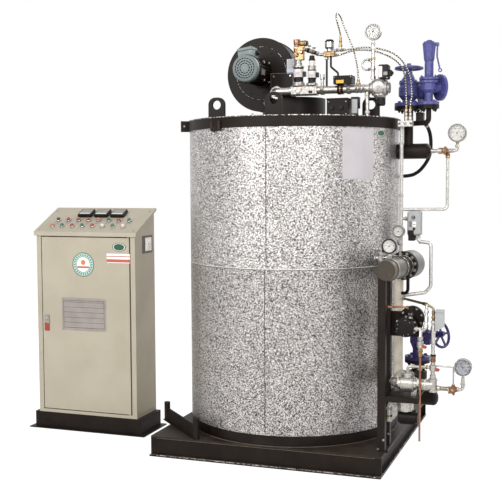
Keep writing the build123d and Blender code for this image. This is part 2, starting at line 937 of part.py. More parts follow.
def steam_header():
    start = (shell_radius - 20, 0, header_z)
    length = header_end - shell_radius
    drum = turned(start, (1, 0, 0), [(length, header_radius), *header_cap_steps])
    riser = turned((riser_x, 0, header_z), (0, 0, 1), [(riser_top - header_z, riser_radius)])
    riser += turned((riser_x, 0, riser_top), (0, 0, 1), [(flange_thickness, stop_flange_radius)])
    corners = [(riser_x, 0, branch_z), (safety_x, safety_y, branch_z), (safety_x, safety_y, riser_top)]
    branch = pipe(corners, branch_radius, branch_bend)
    top = (safety_x, safety_y, riser_top)
    branch += turned(top, (0, 0, 1), [(flange_thickness, safety_flange_radius)])
    cock_x, cock_y, cock_z = drain_cock
    left, right = safety_x + cock_x[0], safety_x + cock_x[1]
    branch += block(left, right, *cock_y, branch_z + cock_z[0], branch_z + cock_z[1])
    mouth = Vector(*drain_route[0])
    lead = (mouth - Vector(*drain_route[1])).normalized()
    branch += rod(mouth + lead * 30, mouth + lead * seat, drain_stub)
    return drum + riser + branch - shell_space()


def stop_valve():
    base = riser_top + flange_thickness
    body = turned((riser_x, 0, base), (0, 0, 1), stop_steps)
    way = (*on_circle(1, outlet_turn), 0)
    body += turned((riser_x, 0, base + stop_outlet_rise), way, stop_outlet_steps)
    top = base + sum(step[0] for step in stop_steps)
    return body + turned((riser_x, 0, top), (0, 0, 1), [(wheel_gap * 2 + wheel_hub, stem_radius), stem_nut])


def handwheel(centre, direction):
    """A cast wheel with its arms, and its hub bored for the stem."""
    middle = wheel_radius - wheel_rim
    wheel = Cylinder(wheel_hub_radius, wheel_hub) + Torus(middle, wheel_rim)
    arm = Pos(middle / 2 + 6, 0, 0) * Box(middle - 12, arm_width, arm_thickness)
    for index in range(wheel_arms):
        wheel += Rot(0, 0, index * 360 / wheel_arms) * arm
    wheel -= Cylinder(stem_radius + stem_play, 60)
    return Plane(origin=centre, z_dir=direction).location * wheel


def stop_wheel():
    top = riser_top + flange_thickness + sum(step[0] for step in stop_steps)
    return handwheel((riser_x, 0, top + wheel_gap + wheel_hub / 2), (0, 0, 1))


def safety_valve():
    base = riser_top + flange_thickness
    body = turned((safety_x, safety_y, base), (0, 0, 1), safety_steps)
    bonnet = base + sum(step[0] for step in safety_steps)
    body += turned((safety_x, safety_y, bonnet), (0, 0, 1), bonnet_steps)
    way = (*on_circle(1, outlet_turn), 0)
    body += turned((safety_x, safety_y, base + safety_outlet_rise), way, safety_outlet_steps)
    x, y, z = lever_pivot
    gap = lever_gap + 1.5
    for near in (y - gap - fork_thickness, y + gap):
        low, high = z - fork_half_height, z + fork_half_height
        body += block(safety_x + fork_start, x + 8, near, near + fork_thickness, low, high)
    reach = gap + fork_thickness
    return body + rod((x, y - reach, z), (x, y + reach, z), 4)


def flat_bar(start, end, width, thickness):
    way = Vector(*end) - Vector(*start)
    middle = (Vector(*start) + Vector(*end)) / 2
    return Plane(origin=middle, x_dir=way, z_dir=(0, 1, 0)).location * Box(way.length, width, thickness)


def safety_lever():
    x, y, z = lever_pivot
    knee = (x + lever_knee[0], y, z + lever_knee[1])
    end = (x + lever_tip[0], y, z + lever_tip[1])
    thick = 2 * lever_gap
    lever = flat_bar(lever_pivot, knee, lever_width, thick) + flat_bar(knee, end, lever_width, thick)
    for centre, radius, hole in ((lever_pivot, lever_eye, 4 + seat), (end, lever_ring, 5)):
        lever += Pos(*centre) * Rot(90, 0, 0) * Cylinder(radius, thick)
        lever -= Pos(*centre) * Rot(90, 0, 0) * Cylinder(hole, 20)
    return lever + Pos(*knee) * Rot(90, 0, 0) * Cylinder(lever_width / 2, thick)


def header_gauge():
    start = (header_end + seat, 0, header_z)
    body = turned(start, (1, 0, 0), header_gauge_steps)
    length = sum(step[0] for step in header_gauge_steps)
    x = header_end + header_gauge_run
    start = (header_end + length - 12, 0, header_z)
    corners = [start, (x, 0, header_z), (x, 0, header_z + header_gauge_elbow)]
    body += pipe(corners, impulse_radius, 14)
    body += gauge((x, 0, header_z + header_dial_rise), header_dial_radius, dial_depth)
    return body + turned((header_end + tap_run, 0, header_z - tap_drop), (0, 0, 1), [tap_steps])


def impulse_pipe():
    x = header_end + tap_run
    top = header_z - tap_drop - seat
    corners = [(x, 0, top), (x, 0, impulse_low), (manifold_x, manifold_y, impulse_low)]
    body = pipe(corners, impulse_radius, impulse_bend)
    low, high = (manifold_x, manifold_y, manifold_bottom), (manifold_x, manifold_y, manifold_top)
    body += rod(low, high, manifold_pipe)
    left, right = manifold_x - block_left, manifold_x + block_right
    front, rear = manifold_y - block_front, manifold_y + block_back
    high = manifold_top + block_height
    body += block(left, right, front, rear, manifold_top, high)
    for x in (port_x, port_x + port_pitch):
        nipple = (port_top - seat - high + 1 - port_nut[0], port_nipple)
        body += turned((x, port_y, high - 1), (0, 0, 1), [port_nut, nipple])
    return body - chamber_room()


def pressure_switch():
    left = manifold_x + switch_left
    right = left + switch_width
    body = block(left, right, switch_front, switch_rear, switch_bottom, switch_bottom + switch_height)
    body = fillet(body.edges().filter_by(Axis.Y), switch_rounding)
    gland = left + gland_inset
    front, rear = switch_front + gland_inset, switch_rear - gland_inset
    body += block(gland, gland + gland_width, front, rear, switch_bottom - gland_height, switch_bottom + 1)
    start = (manifold_x + switch_nipple, manifold_y, switch_nipple_z)
    body += rod(start, (left + 1, manifold_y, switch_nipple_z), switch_nipple)
    return body - Pos(manifold_x, manifold_y, switch_nipple_z) * Cylinder(manifold_pipe + seat, 100)


def conduit():
    corners = [(manifold_x + x, y, z) for x, y, z in conduit_corners]
    corners.insert(0, (corners[0][0], corners[0][1], switch_bottom - seat))
    return pipe(corners, conduit_radius, conduit_bend) - column_room()


# Water level chamber on two posts, with its column, gauges and shelf

def chamber_way():
    return (sin(radians(chamber_turn)), cos(radians(chamber_turn)), 0)


def chamber(extra=0.0):
    steps = [(length, radius + extra) for length, radius in chamber_steps]
    steps[0] = (steps[0][0] + extra, steps[0][1])
    steps[-1] = (steps[-1][0] + extra, steps[-1][1])
    start = Vector(chamber_x, chamber_front, chamber_z) - Vector(*chamber_way()) * extra
    return turned(start, chamber_way(), steps)


def chamber_room():
    return chamber(seat)


def column_room():
    """The room of the water column, which pipes end at."""
    start = (column_x, column_y, shelf_top + column_foot + seat)
    return turned(start, (0, 0, 1), [(chamber_z - shelf_top, column_radius + seat)])


def post(y):
    high = chamber_z
    body = block(post_inner, post_outer, y, y + post_wall, deck_top, high)
    body += block(post_outer - post_wall, post_outer, y, y + post_size, deck_top, high)
    return body - chamber_room()


def front_post():
    return post(front_post_y)


def rear_post():
    body = post(rear_post_y)
    low, high = pump_z - bracket_half, pump_z + bracket_half
    reach = block(post_outer - 1, pump_x + bracket_half, bracket_y, bracket_y + bracket_plate, low, high)
    hole = rod((pump_x, bracket_y - 20, pump_z), (pump_x, bracket_y + 20, pump_z), pump_steps[2][1] + seat)
    return body + reach - hole


def chamber_gauges():
    x, y = near_dial_x, near_dial_y
    body = gauge((x, y, chamber_z + near_dial_rise), near_dial_radius, near_dial_depth)
    stem = near_dial_rise - near_dial_radius - near_arm_rise
    foot = chamber_z + near_arm_rise - 22
    body += turned((x, y, foot), (0, 0, 1), [near_tee, (stem - 2, 6)])
    arm_z = chamber_z + near_arm_rise
    body += rod((x, y, arm_z), (x - near_arm_length, y, arm_z), near_arm_radius)
    body += turned((x + near_cock_x, y, arm_z), (0, 0, 1), [near_cock])
    small = gauge((small_dial_x, small_dial_y, small_dial_z), small_dial_radius, small_dial_depth)
    low = small_dial_z - small_dial_radius
    z = low - 36
    top = (small_dial_x, small_dial_y, low - 15)
    corners = [top, (small_dial_x, small_dial_y, z), (manifold_x, manifold_y - 6, z)]
    small += pipe(corners, small_dial_pipe, 10)
    small -= Pos(manifold_x, manifold_y, z) * Cylinder(manifold_pipe + seat, 100)
    return [body - chamber_room(), small]


def water_column():
    foot = (column_x, column_y, shelf_top)
    steps = [(column_foot, column_foot_radius), (chamber_z - shelf_top, column_radius)]
    return turned(foot, (0, 0, 1), steps) - chamber_room()


def level_pipe():
    corners = [
        (level_pipe_x, level_pipe_y, chamber_z),
        (level_pipe_x, level_pipe_y, level_pipe_z),
        (column_x + 10, column_y - 6, level_pipe_z),
    ]
    return pipe(corners, level_pipe_radius, level_pipe_bend) - chamber_room() - column_room()


def pipe_shelf():
    plate = block(post_outer, shelf_right, front_post_y, shelf_rear, shelf_top - shelf_plate, shelf_top)
    lip_rear = front_post_y + shelf_plate
    return plate + block(post_outer, shelf_right, front_post_y, lip_rear, shelf_top - shelf_lip, shelf_top)


def feed_pipe():
    corners = [(feed_x, column_y, feed_z), (feed_x, feed_y, feed_z), (gauge_column_x, feed_y, feed_z)]
    body = pipe(corners, feed_radius, feed_bend)
    start = check_valve_x - sum(step[0] for step in check_body_steps) / 2
    body += turned((start, feed_y, feed_z), (1, 0, 0), check_body_steps)
    body += turned((check_valve_x, feed_y, feed_z), (0, 0, 1), check_bonnet_steps)
    tee = (gauge_column_x, feed_y, feed_z - tee_height / 2)
    body += turned(tee, (0, 0, 1), [(tee_height, tee_radius)])
    end = gauge_column_x - column_steps[1][1] - 4
    foot = (check_valve_x, feed_y, feed_z + 50)
    corners = [foot, (check_valve_x, feed_y, bypass_z), (end, feed_y, bypass_z)]
    body += pipe(corners, bypass_radius, bypass_bend)
    top = (check_valve_x + strainer_x, feed_y, bypass_z)
    body += rod(top, (top[0] - strainer_drop * 0.6, feed_y, bypass_z - strainer_drop), strainer_radius)
    half = saddle_width / 2
    y = feed_y + saddle_y
    body += block(feed_x - half, feed_x + half, y - half / 2, y + half / 2, shelf_top, feed_z)
    left = check_valve_x + 20
    body += block(left, left + saddle_width, feed_y - half, feed_y + half, shelf_top, feed_z)
    riser = turned((gauge_column_x, feed_y, gauge_base()), (0, 0, 1), widened(column_steps))
    return body - column_room() - riser


def gauge_base():
    return feed_z + tee_height / 2 + seat


def widened(steps):
    return [(length, radius + seat) for length, radius in steps]


def star(centre, radius, thickness):
    """A star handle that faces the front."""
    knob = Cylinder(radius * 0.55, thickness)
    for index in range(star_lobes):
        lobe = Pos(radius * 0.66, 0, 0) * Cylinder(radius * 0.34, thickness)
        knob += Rot(0, 0, index * 360 / star_lobes) * lobe
    return Pos(*centre) * Rot(90, 0, 0) * knob


def gauge_column():
    x = gauge_column_x
    body = turned((x, feed_y, gauge_base()), (0, 0, 1), column_steps)
    body += rod((x, feed_y, cock_lever_z), (x + cock_lever_reach, feed_y, cock_lever_z), 5)
    front, rear = feed_y - box_depth / 2, feed_y + box_depth / 2
    high = box_low + box_height
    case = Polyline(
        (x + box_left, box_low),
        (x + box_left + box_width, box_low + box_slope),
        (x + box_left + box_width, high),
        (x + box_left, high),
        close=True,
    )
    case = Pos(0, front, 0) * extrude(Plane.XZ * make_face(case), amount=front - rear)
    body += case + rod((x, feed_y, box_low + 40), (x + box_left + 1, feed_y, box_low + 40), 6)
    side = turned((x + tee_radius + seat, feed_y, side_z), (1, 0, 0), side_steps)
    start = x + tee_radius + sum(step[0] for step in side_steps)
    dial_z = feed_z + feed_dial_rise
    top = dial_z - feed_dial_radius - 13
    corners = [(start - 4, feed_y, side_z), (feed_dial_x, feed_y, side_z), (feed_dial_x, feed_y, top)]
    side += pipe(corners, side_pipe_radius, side_pipe_bend)
    side += gauge((feed_dial_x, feed_y, dial_z), feed_dial_radius, dial_depth)
    valve = x + tee_radius + 82
    side += rod((valve, feed_y, side_z), (valve, feed_y - star_reach, side_z), star_stem)
    side += star((valve, feed_y - star_reach, side_z), star_radius, star_thickness)
    start = x + column_steps[3][1] + seat
    corners = [(start, feed_y, test_tube_z), (valve, feed_y, test_tube_z), (valve, feed_y, side_z)]
    return body, side + pipe(corners, test_tube_radius, test_tube_bend)


def feed_pump():
    body = turned((pump_x, pump_front, pump_z), (0, 1, 0), pump_steps)
    casing = (pump_x + casing_offset[0], casing_front, pump_z + casing_offset[1])
    body += turned(casing, (0, 1, 0), [(casing_thickness, casing_radius)])
    nipple = (pump_x + nipple_offset[0], pump_front + nipple_offset[1], pump_z + 38)
    return body + turned(nipple, (0, 0, 1), [(10, 9), *nipple_steps])


def sample_pipes():
    top = sample_bottom + sum(step[0] for step in sample_steps)
    body = turned((sample_x, pump_front, sample_bottom), (0, 0, 1), sample_steps)
    y, z = pump_front + 14, pump_z - 6
    corners = [(pump_x, y, z), (sample_x, y, z), (sample_x, pump_front, top - 4)]
    body += pipe(corners, sample_radius, sample_radius + 1)
    lever_z = sample_bottom + 63
    body += rod((sample_x, pump_front, lever_z), (sample_x + sample_lever, pump_front, lever_z), 6)
    stack = [
        (sample_x, pump_front + 6, pump_z - 18),
        (stack_x, feed_y - 14, pump_z - 2),
        (stack_x, feed_y + 14, pump_z + 116),
    ]
    body += pipe(stack, sample_radius - 1, 12)
    body += turned(stack[1], Vector(*stack[2]) - Vector(*stack[1]), stack_steps)
    end = (gauge_column_x, feed_y, gauge_base() + sum(step[0] for step in column_steps) + seat)
    start = (column_x + 12, column_y - 14, link_z)
    knee = (stack_x, feed_y + 18, pump_z + 117)
    corners = [start, knee, (end[0], feed_y, end[2] + 36), end]
    body += pipe(corners, link_radius, link_bend)
    room = [(seat, pump_steps[0][1] + seat), *widened(pump_steps)]
    body -= turned((pump_x, pump_front - seat, pump_z), (0, 1, 0), room)
    return body - column_room()


def copper_tubes():
    low = sample_bottom - seat
    drop = rod((sample_x, pump_front, low), (sample_x, pump_front, low - copper_drop), copper_radius)
    z = pump_z + copper_rise
    x = pump_x + nipple_offset[0]
    y = pump_front + nipple_offset[1]
    edge = post_outer + seat
    corners = [(x - 9 - seat, y, z), (edge + 50, y, z), (edge + 25, pump_front, z), (edge, pump_front, z)]
    return drop, pipe(corners, copper_radius, 10)


def circulating_pump():
    top = shelf_top - shelf_plate
    low = top - sum(step[0] for step in bowl_steps)
    neck = low - bowl_motor_z - bowl_motor_radius - seat
    body = turned((bowl_x, feed_y, top), (0, 0, -1), [*bowl_steps, (neck, bowl_neck)])
    z = low + hanging_rise - hanging_radius
    corners = [(bowl_x, feed_y, z), (hanging_x, feed_y, z), (hanging_x, feed_y, z - hanging_length)]
    return body + pipe(corners, hanging_radius, hanging_bend)


def circulating_motor():
    start = (bowl_x + bowl_motor_offset - bowl_motor_length / 2, feed_y, bowl_motor_z)
    barrel = bowl_motor_length - 2 * bowl_motor_cap
    end = (bowl_motor_cap, bowl_motor_end)
    return turned(start, (1, 0, 0), [end, (barrel, bowl_motor_radius), end])


# Lower header with the feed valve

def lower_header():
    start = (shell_radius - 20, 0, low_header_z)
    length = low_header_end - shell_radius
    drum = turned(start, (1, 0, 0), [(length, header_radius), *header_cap_steps])
    rise = low_flange_z - low_flange - low_header_z
    steps = [(rise, low_riser_radius), (low_flange, low_flange_radius)]
    riser = turned((valve_x, 0, low_header_z), (0, 0, 1), steps)
    riser += turned((valve_x, 0, low_union_z), (0, 0, 1), [(low_union, low_union_radius)])
    return drum + riser - shell_space()


def valve_way():
    x, y = on_circle(cos(radians(valve_tilt)), valve_turn)
    return (x, y, sin(radians(valve_tilt)))


def along_valve(distance):
    return Vector(valve_x, 0, low_flange_z + valve_heart_rise) + Vector(*valve_way()) * distance


bonnet_length = sum(step[0] for step in valve_bonnet_steps)


def feed_valve():
    body = turned((valve_x, 0, low_flange_z), (0, 0, 1), valve_steps)
    body += turned(along_valve(0), valve_way(), valve_bonnet_steps)
    stem = (wheel_gap * 2 + wheel_hub, stem_radius)
    return body + turned(along_valve(bonnet_length), valve_way(), [stem, stem_nut])


def feed_wheel():
    return handwheel(along_valve(bonnet_length + wheel_gap + wheel_hub / 2), valve_way())


# Control cabinet: plinth, body with a sloped top, control panel and door

def plinth():
    left = cabinet_left - plinth_margin
    right = cabinet_right + plinth_margin
    front = cabinet_front
    rear = cabinet_front + cabinet_depth
    outer = block(left, right, front, rear, 0, plinth_height)
    inside = (left + plinth_wall, right - plinth_wall, front + plinth_wall, rear - plinth_wall)
    reach = plinth_reach
    foot = block(left - reach, right + reach, front - reach, rear + reach, 0, plinth_wall)
    return outer + foot - block(*inside, -1, plinth_height - plinth_wall)


cabinet_rear = cabinet_front + cabinet_depth
cabinet_top = plinth_height + front_height
hinge_x = cabinet_right - frame_width - hinge_gap - door_thickness / 2
hinge_y = cabinet_front + door_thickness / 2


def side_profile(x0, x1, inset):
    points = [
        (cabinet_front + inset, plinth_height + inset),
        (cabinet_rear - inset, plinth_height + inset),
        (cabinet_rear - inset, cabinet_top + panel_rise - inset),
        (cabinet_front + inset, cabinet_top - inset),
    ]
    face = make_face(Plane.YZ * Polyline(*points, close=True))
    return Pos(x0, 0, 0) * extrude(face, amount=x1 - x0)


def cabinet_body():
    body = side_profile(cabinet_left, cabinet_right, 0)
    body -= side_profile(cabinet_left + cabinet_wall, cabinet_right - cabinet_wall, cabinet_wall)
    left, right = cabinet_left + frame_width, cabinet_right - frame_width
    low, high = door_bottom - door_gap, door_top + door_gap
    body -= block(left, right, cabinet_front - 1, cabinet_front + 40, low, high)
    for z, way in ((low, 1), (high, -1)):
        plate = z - 12 if way > 0 else z
        body += block(hinge_x - 20, cabinet_right - 1, cabinet_front, cabinet_front + 30, plate, plate + 12)
        pin = [(door_gap - seat, hinge_radius + 3), (hinge_pin + seat, hinge_radius)]
        body += turned((hinge_x, hinge_y, z), (0, 0, way), pin)
    return body


def cabinet_door():
    left = cabinet_left + frame_width + door_gap
    right = cabinet_right - frame_width - hinge_gap
    body = block(left, right, cabinet_front, cabinet_front + door_thickness, door_bottom, door_top)
    for z, way in ((door_bottom, 1), (door_top, -1)):
        body -= turned((hinge_x, hinge_y, z), (0, 0, way), [(hinge_pin + 6, hinge_radius + seat)])
    x = left + handle_inset
    high = handle_low + handle_height
    front = cabinet_front - handle_reach
    return body + block(x, x + handle_width, front, cabinet_front + 1, handle_low, high)


def control_panel():
    front = cabinet_front - panel_overhang
    rear = cabinet_rear + panel_overhang
    rise = panel_rise * (1 + panel_overhang / cabinet_depth)
    points = [
        (front, cabinet_top - 10),
        (cabinet_front - seat, cabinet_top - 10),
        (cabinet_front - seat, cabinet_top + seat),
        (rear, cabinet_top + seat + rise),
        (rear, cabinet_top + rise + panel_thickness),
        (front, cabinet_top + panel_thickness),
    ]
    face = make_face(Plane.YZ * Polyline(*points, close=True))
    width = cabinet_right - cabinet_left + 2 * panel_overhang
    return Pos(cabinet_left - panel_overhang, 0, 0) * extrude(face, amount=width)


def corner_bracket():
    a = Vector(*kick_left, deck_top)
    b = Vector(*kick_right, deck_top)
    way = b - a
    plane = Plane(origin=a, x_dir=way, z_dir=(0, 0, 1)).location
    half = kick_thickness / 2
    body = plane * block(0, way.length, -half, half, 0, kick_height)
    body += plane * block(0, way.length, -kick_foot - half + 1, half - 1, 0, kick_thickness)
    lead = way.normalized() * stub_inset
    for place, height in ((a + lead, stub_heights[0]), (b - lead, stub_heights[1])):
        body += turned(place, (0, 0, 1), [(height, stub_radius)])
    return body


parts = {
    "skid_front_beam": end_beam(skid_front, -1),
    "skid_rear_beam": end_beam(skid_rear, 1),
    "skid_left_beam": side_beam(-1),
    "skid_right_beam": side_beam(1),
    "skid_cross_beam": cross_beam(),
    "deck_plate": deck(),
    "base_ring": course(deck_top, shell_bottom, ring_inset),
    "jacket_lower": course(shell_bottom, seam_z),
    "jacket_upper": course(seam_z, lid_bottom),
    "top_plate": course(lid_bottom, lid_top),
    "top_band": top_band(),
    "lifting_lugs": [lifting_lug(*spot) for spot in lug_spots],
    "blower_scroll": blower_scroll(),
    "blower_motor": blower_motor(),
    "windbox": windbox(),
    "fuel_pipe": fuel_pipe(),
    "fuel_valves": fuel_valves(),
    "pilot_valves": pilot_valves(),
    "pilot_regulator": pilot_regulator(),
    "gas_regulator": gas_regulator(),
    "ignition_boxes": ignition_boxes(),
    "top_gauge": top_gauge(),
    "loop_hose": hose("loop_hose", loop_route, 5),
    "upper_sensing_hose": hose("upper_sensing_hose", upper_sensing_route, sensing_radius),
    "lower_sensing_hose": hose("lower_sensing_hose", lower_sensing_route, sensing_radius),
    "drain_hose": hose("drain_hose", drain_route, 10),
    "steam_header": steam_header(),
    "stop_valve": stop_valve(),
    "stop_wheel": stop_wheel(),
    "safety_valve": safety_valve(),
    "safety_lever": safety_lever(),
    "header_gauge": header_gauge(),
    "impulse_pipe": impulse_pipe(),
    "pressure_switch": pressure_switch(),
    "conduit": conduit(),
    "level_chamber": chamber(),
    "chamber_gauges": chamber_gauges(),
    "water_column": water_column(),
    "level_pipe": level_pipe(),
    "front_post": front_post(),
    "rear_post": rear_post(),
    "pipe_shelf": pipe_shelf(),
    "feed_pump": feed_pump(),
    "feed_pipe": feed_pipe(),
    "gauge_column": gauge_column(),
    "circulating_pump": circulating_pump(),
    "circulating_motor": circulating_motor(),
    "lower_header": lower_header(),
    "feed_valve": feed_valve(),
    "feed_wheel": feed_wheel(),
    "sample_pipes": sample_pipes(),
    "copper_tubes": copper_tubes(),
    "corner_bracket": corner_bracket(),
    "cabinet_plinth": plinth(),
    "cabinet_body": cabinet_body(),
    "cabinet_door": cabinet_door(),
    "control_panel": control_panel(),
}

os.makedirs("parts", exist_ok=True)
for name, shape in parts.items():
    solids = Compound(children=list(shape)) if isinstance(shape, (list, tuple)) else shape
    export_step(solids, f"parts/{name}.step")
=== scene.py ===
from math import atan2, cos, pi, radians, sin

import bpy
from bpy.props import FloatProperty, FloatVectorProperty, IntProperty, PointerProperty
from mathutils import Matrix, Vector


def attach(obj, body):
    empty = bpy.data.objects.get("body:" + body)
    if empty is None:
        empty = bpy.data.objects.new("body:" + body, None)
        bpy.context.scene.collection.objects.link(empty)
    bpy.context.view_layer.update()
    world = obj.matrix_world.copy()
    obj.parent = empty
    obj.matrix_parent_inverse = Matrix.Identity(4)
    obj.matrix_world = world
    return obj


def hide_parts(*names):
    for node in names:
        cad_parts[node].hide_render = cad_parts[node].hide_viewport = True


bl_info = {
    "name": "Packaged steam boiler",
    "version": (1, 0, 0),
    "blender": (4, 5, 0),
    "location": "View3D > Sidebar > Boiler",
    "description": "Dresses a skid-mounted steam boiler and its control cabinet",
    "category": "Object",
}

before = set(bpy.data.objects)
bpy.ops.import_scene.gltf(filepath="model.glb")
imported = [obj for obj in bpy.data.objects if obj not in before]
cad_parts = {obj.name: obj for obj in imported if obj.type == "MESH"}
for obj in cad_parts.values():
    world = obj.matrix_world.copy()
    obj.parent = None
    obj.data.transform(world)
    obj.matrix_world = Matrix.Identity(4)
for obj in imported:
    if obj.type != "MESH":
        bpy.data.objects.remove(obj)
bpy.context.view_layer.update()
MM = 0.001
finishes = {}
trees = {}

# Heights, radii and places that the solids also use, in millimetres
LID = 1850.0
SEAM = 1049.0
SHELL = 600.0
DECK, RING_TOP = 109, 168
PLATE = 12
TRAIN_Y = -230.0
TRAIN_Z = 2000.0
MOTOR = (-160.0, -115.0, 2118.0)
PUMP = (733.0, -468.0, 757.0)
CHAMBER = (643.0, -520.0, 1052.0)
COLUMN = (874.0, -430.0, 495.3)
SAMPLE = (814.0, -468.0, 613.0)
UP, DOWN, FRONT, BACK, RIGHT = (0, 0, 1), (0, 0, -1), (0, -1, 0), (0, 1, 0), (1, 0, 0)
# Angles of the jacket's vertical laps in degrees, and the rivets' spacing in millimetres
LAPS = (-85, 35, 155)
RIVET_STEP = 75

# Routes of the free hoses, in metres
LOOP_ROUTE = (
    (0.332, -0.230, 2.2683),
    (0.332, -0.230, 2.304),
    (0.325, -0.264, 2.340),
    (0.315, -0.267, 2.389),
    (0.315, -0.227, 2.412),
    (0.324, -0.187, 2.391),
    (0.338, -0.184, 2.345),
    (0.357, -0.185, 2.305),
    (0.376, -0.187, 2.260),
    (0.396, -0.191, 2.212),
    (0.415, -0.207, 2.146),
    (0.431, -0.230, 2.082),
    (0.431, -0.230, 2.0343),
)
UPPER_SENSING_ROUTE = (
    (0.3403, -0.230, 2.210),
    (0.388, -0.230, 2.210),
    (0.443, -0.220, 2.220),
    (0.512, -0.204, 2.217),
    (0.590, -0.186, 2.197),
    (0.640, -0.165, 2.165),
    (0.670, -0.142, 2.120),
    (0.688, -0.122, 2.070),
    (0.697, -0.112, 2.012),
    (0.698, -0.109, 1.962),
    (0.690, -0.112, 1.925),
    (0.690, -0.112, 1.893),
)
LOWER_SENSING_ROUTE = (
    (0.3023, -0.230, 2.184),
    (0.334, -0.230, 2.184),
    (0.374, -0.224, 2.200),
    (0.428, -0.218, 2.209),
    (0.510, -0.197, 2.203),
    (0.588, -0.178, 2.172),
    (0.632, -0.152, 2.140),
    (0.654, -0.126, 2.100),
    (0.663, -0.112, 2.050),
    (0.664, -0.107, 1.995),
    (0.667, -0.109, 1.945),
    (0.668, -0.112, 1.922),
    (0.668, -0.112, 1.893),
)
DRAIN_ROUTE = (
    (0.762, -0.030, 1.812),
    (0.768, 0.010, 1.795),
    (0.775, 0.045, 1.755),
    (0.776, 0.060, 1.700),
    (0.768, 0.064, 1.640),
    (0.737, 0.073, 1.590),
    (0.700, 0.088, 1.553),
    (0.65137, 0.09735, 1.532),
    (0.5943, 0.08882, 1.532),
)


# ---- Finishes


def linear(code):
    """A colour in sRGB hex as the linear values that a shader takes. A picked colour is linear already."""
    if not isinstance(code, str):
        return [*code, 1.0]
    parts = [int(code[i : i + 2], 16) / 255 for i in (1, 3, 5)]
    return [c / 12.92 if c <= 0.04045 else ((c + 0.055) / 1.055) ** 2.4 for c in parts] + [1.0]


def put(tree, kind, values=(), links=(), **settings):
    """Adds a node with its settings, its socket values and the sockets that feed it."""
    made = tree.nodes.new(kind)
    for key, value in settings.items():
        setattr(made, key, value)
    for socket, value in dict(values).items():
        made.inputs[socket].default_value = value
    for socket, source in dict(links).items():
        tree.links.new(source, made.inputs[socket])
    return made


def new_material(name, **values):
    """A material with its tree and its shader, whose constants are set by name."""
    made = bpy.data.materials.new(name)
    made.use_nodes = True
    shader = made.node_tree.nodes["Principled BSDF"]
    for key, value in values.items():
        shader.inputs[key.replace("_", " ")].default_value = value
    return made, made.node_tree, shader.inputs


def surface(name, hue, other, rough, metal=0, patch=60, share=0.5, grain=1.5, depth=0.03, wander=0.08,
            gloss=0, shine=0.5):
    """A finish with patches of a second tone, fine relief and uneven sheen. Sizes are in millimetres."""
    made, tree, shader = new_material(name, Metallic=metal, Coat_Weight=gloss, Specular_IOR_Level=shine)
    where = put(tree, "ShaderNodeTexCoord").outputs["Object"]
    patches = {"Scale": 1000 / patch, "Detail": 5}
    cloud = put(tree, "ShaderNodeTexNoise", patches, {"Vector": where}).outputs[0]
    amount = put(tree, "ShaderNodeMapRange", {1: 0.35, 2: 0.68, 4: share}, {0: cloud}).outputs[0]
    tones = {6: linear(hue), 7: linear(other)}
    tone = put(tree, "ShaderNodeMix", tones, {0: amount}, data_type="RGBA")
    tree.links.new(tone.outputs[2], shader["Base Color"])
    sheen = put(tree, "ShaderNodeMapRange", {3: max(0.02, rough - wander), 4: rough + wander}, {0: cloud})
    tree.links.new(sheen.outputs[0], shader["Roughness"])
    fine = put(tree, "ShaderNodeTexNoise", {"Scale": 1000 / grain, "Detail": 2}, {"Vector": where}).outputs[0]
    relief = put(tree, "ShaderNodeBump", {"Distance": depth * MM * 10, "Strength": 0.35}, {"Height": fine})
    tree.links.new(relief.outputs[0], shader["Normal"])
    return made


def chipped_paint(name, paint, bare, chip, amount):
    """Black paint that is worn through to bright steel in flecks of about chip millimetres."""
    made = surface(name, paint, paint, 0.42, patch=40, grain=2, depth=0.05, shine=0.3)
    tree = made.node_tree
    shader = tree.nodes["Principled BSDF"].inputs
    where = put(tree, "ShaderNodeTexCoord").outputs["Object"]
    size = {"Scale": 1000 / chip, "Detail": 4, "Roughness": 0.65}
    flecks = put(tree, "ShaderNodeTexNoise", size, {"Vector": where}).outputs[0]
    worn = put(tree, "ShaderNodeMapRange", {1: amount, 2: amount + 0.05}, {0: flecks}).outputs[0]
    tones = {6: linear(paint), 7: linear(bare)}
    tone = put(tree, "ShaderNodeMix", tones, {0: worn}, data_type="RGBA")
    tree.links.new(tone.outputs[2], shader["Base Color"])
    tree.links.new(worn, shader["Metallic"])
    return made


def stucco_aluminium(name, dark, hue, pale, cell):
    """Sheet aluminium rolled with a stucco emboss: facets of about cell millimetres. The facets' glints are
    painted into the colour as random dark and pale tones, and painted shade darkens each facet towards its
    rim.
    """
    made, tree, shader = new_material(name, Metallic=0.85)
    where = put(tree, "ShaderNodeTexCoord").outputs["Object"]
    facet = put(tree, "ShaderNodeTexVoronoi", {"Scale": 1000 / cell}, {"Vector": where}).outputs
    split = put(tree, "ShaderNodeSeparateColor", links={0: facet["Color"]}).outputs[0]
    # Painted shade: the colour darkens towards each facet's rim, which also sinks it in the relief
    hollow = put(tree, "ShaderNodeMath", {1: -0.35}, {0: facet["Distance"]}, operation="MULTIPLY").outputs[0]
    level = put(tree, "ShaderNodeMath", links={0: split, 1: hollow}, operation="ADD").outputs[0]
    ramp = put(tree, "ShaderNodeValToRGB", links={0: level})
    stops = ramp.color_ramp.elements
    stops[0].position, stops[0].color = 0.10, linear(dark)
    stops[1].position, stops[1].color = 0.62, linear(pale)
    stops.new(0.34).color = linear(hue)
    tree.links.new(ramp.outputs[0], shader["Base Color"])
    # The rolls drift over about 260 mm, which changes the sheen
    drift = put(tree, "ShaderNodeTexNoise", {"Scale": 1000 / 260, "Detail": 3}, {"Vector": where}).outputs[0]
    sheen = put(tree, "ShaderNodeMapRange", {3: 0.30, 4: 0.46}, {0: drift})
    tree.links.new(sheen.outputs[0], shader["Roughness"])
    relief = put(tree, "ShaderNodeBump", {"Distance": 0.9 * MM, "Strength": 0.5}, {"Height": level})
    tree.links.new(relief.outputs[0], shader["Normal"])
    return made


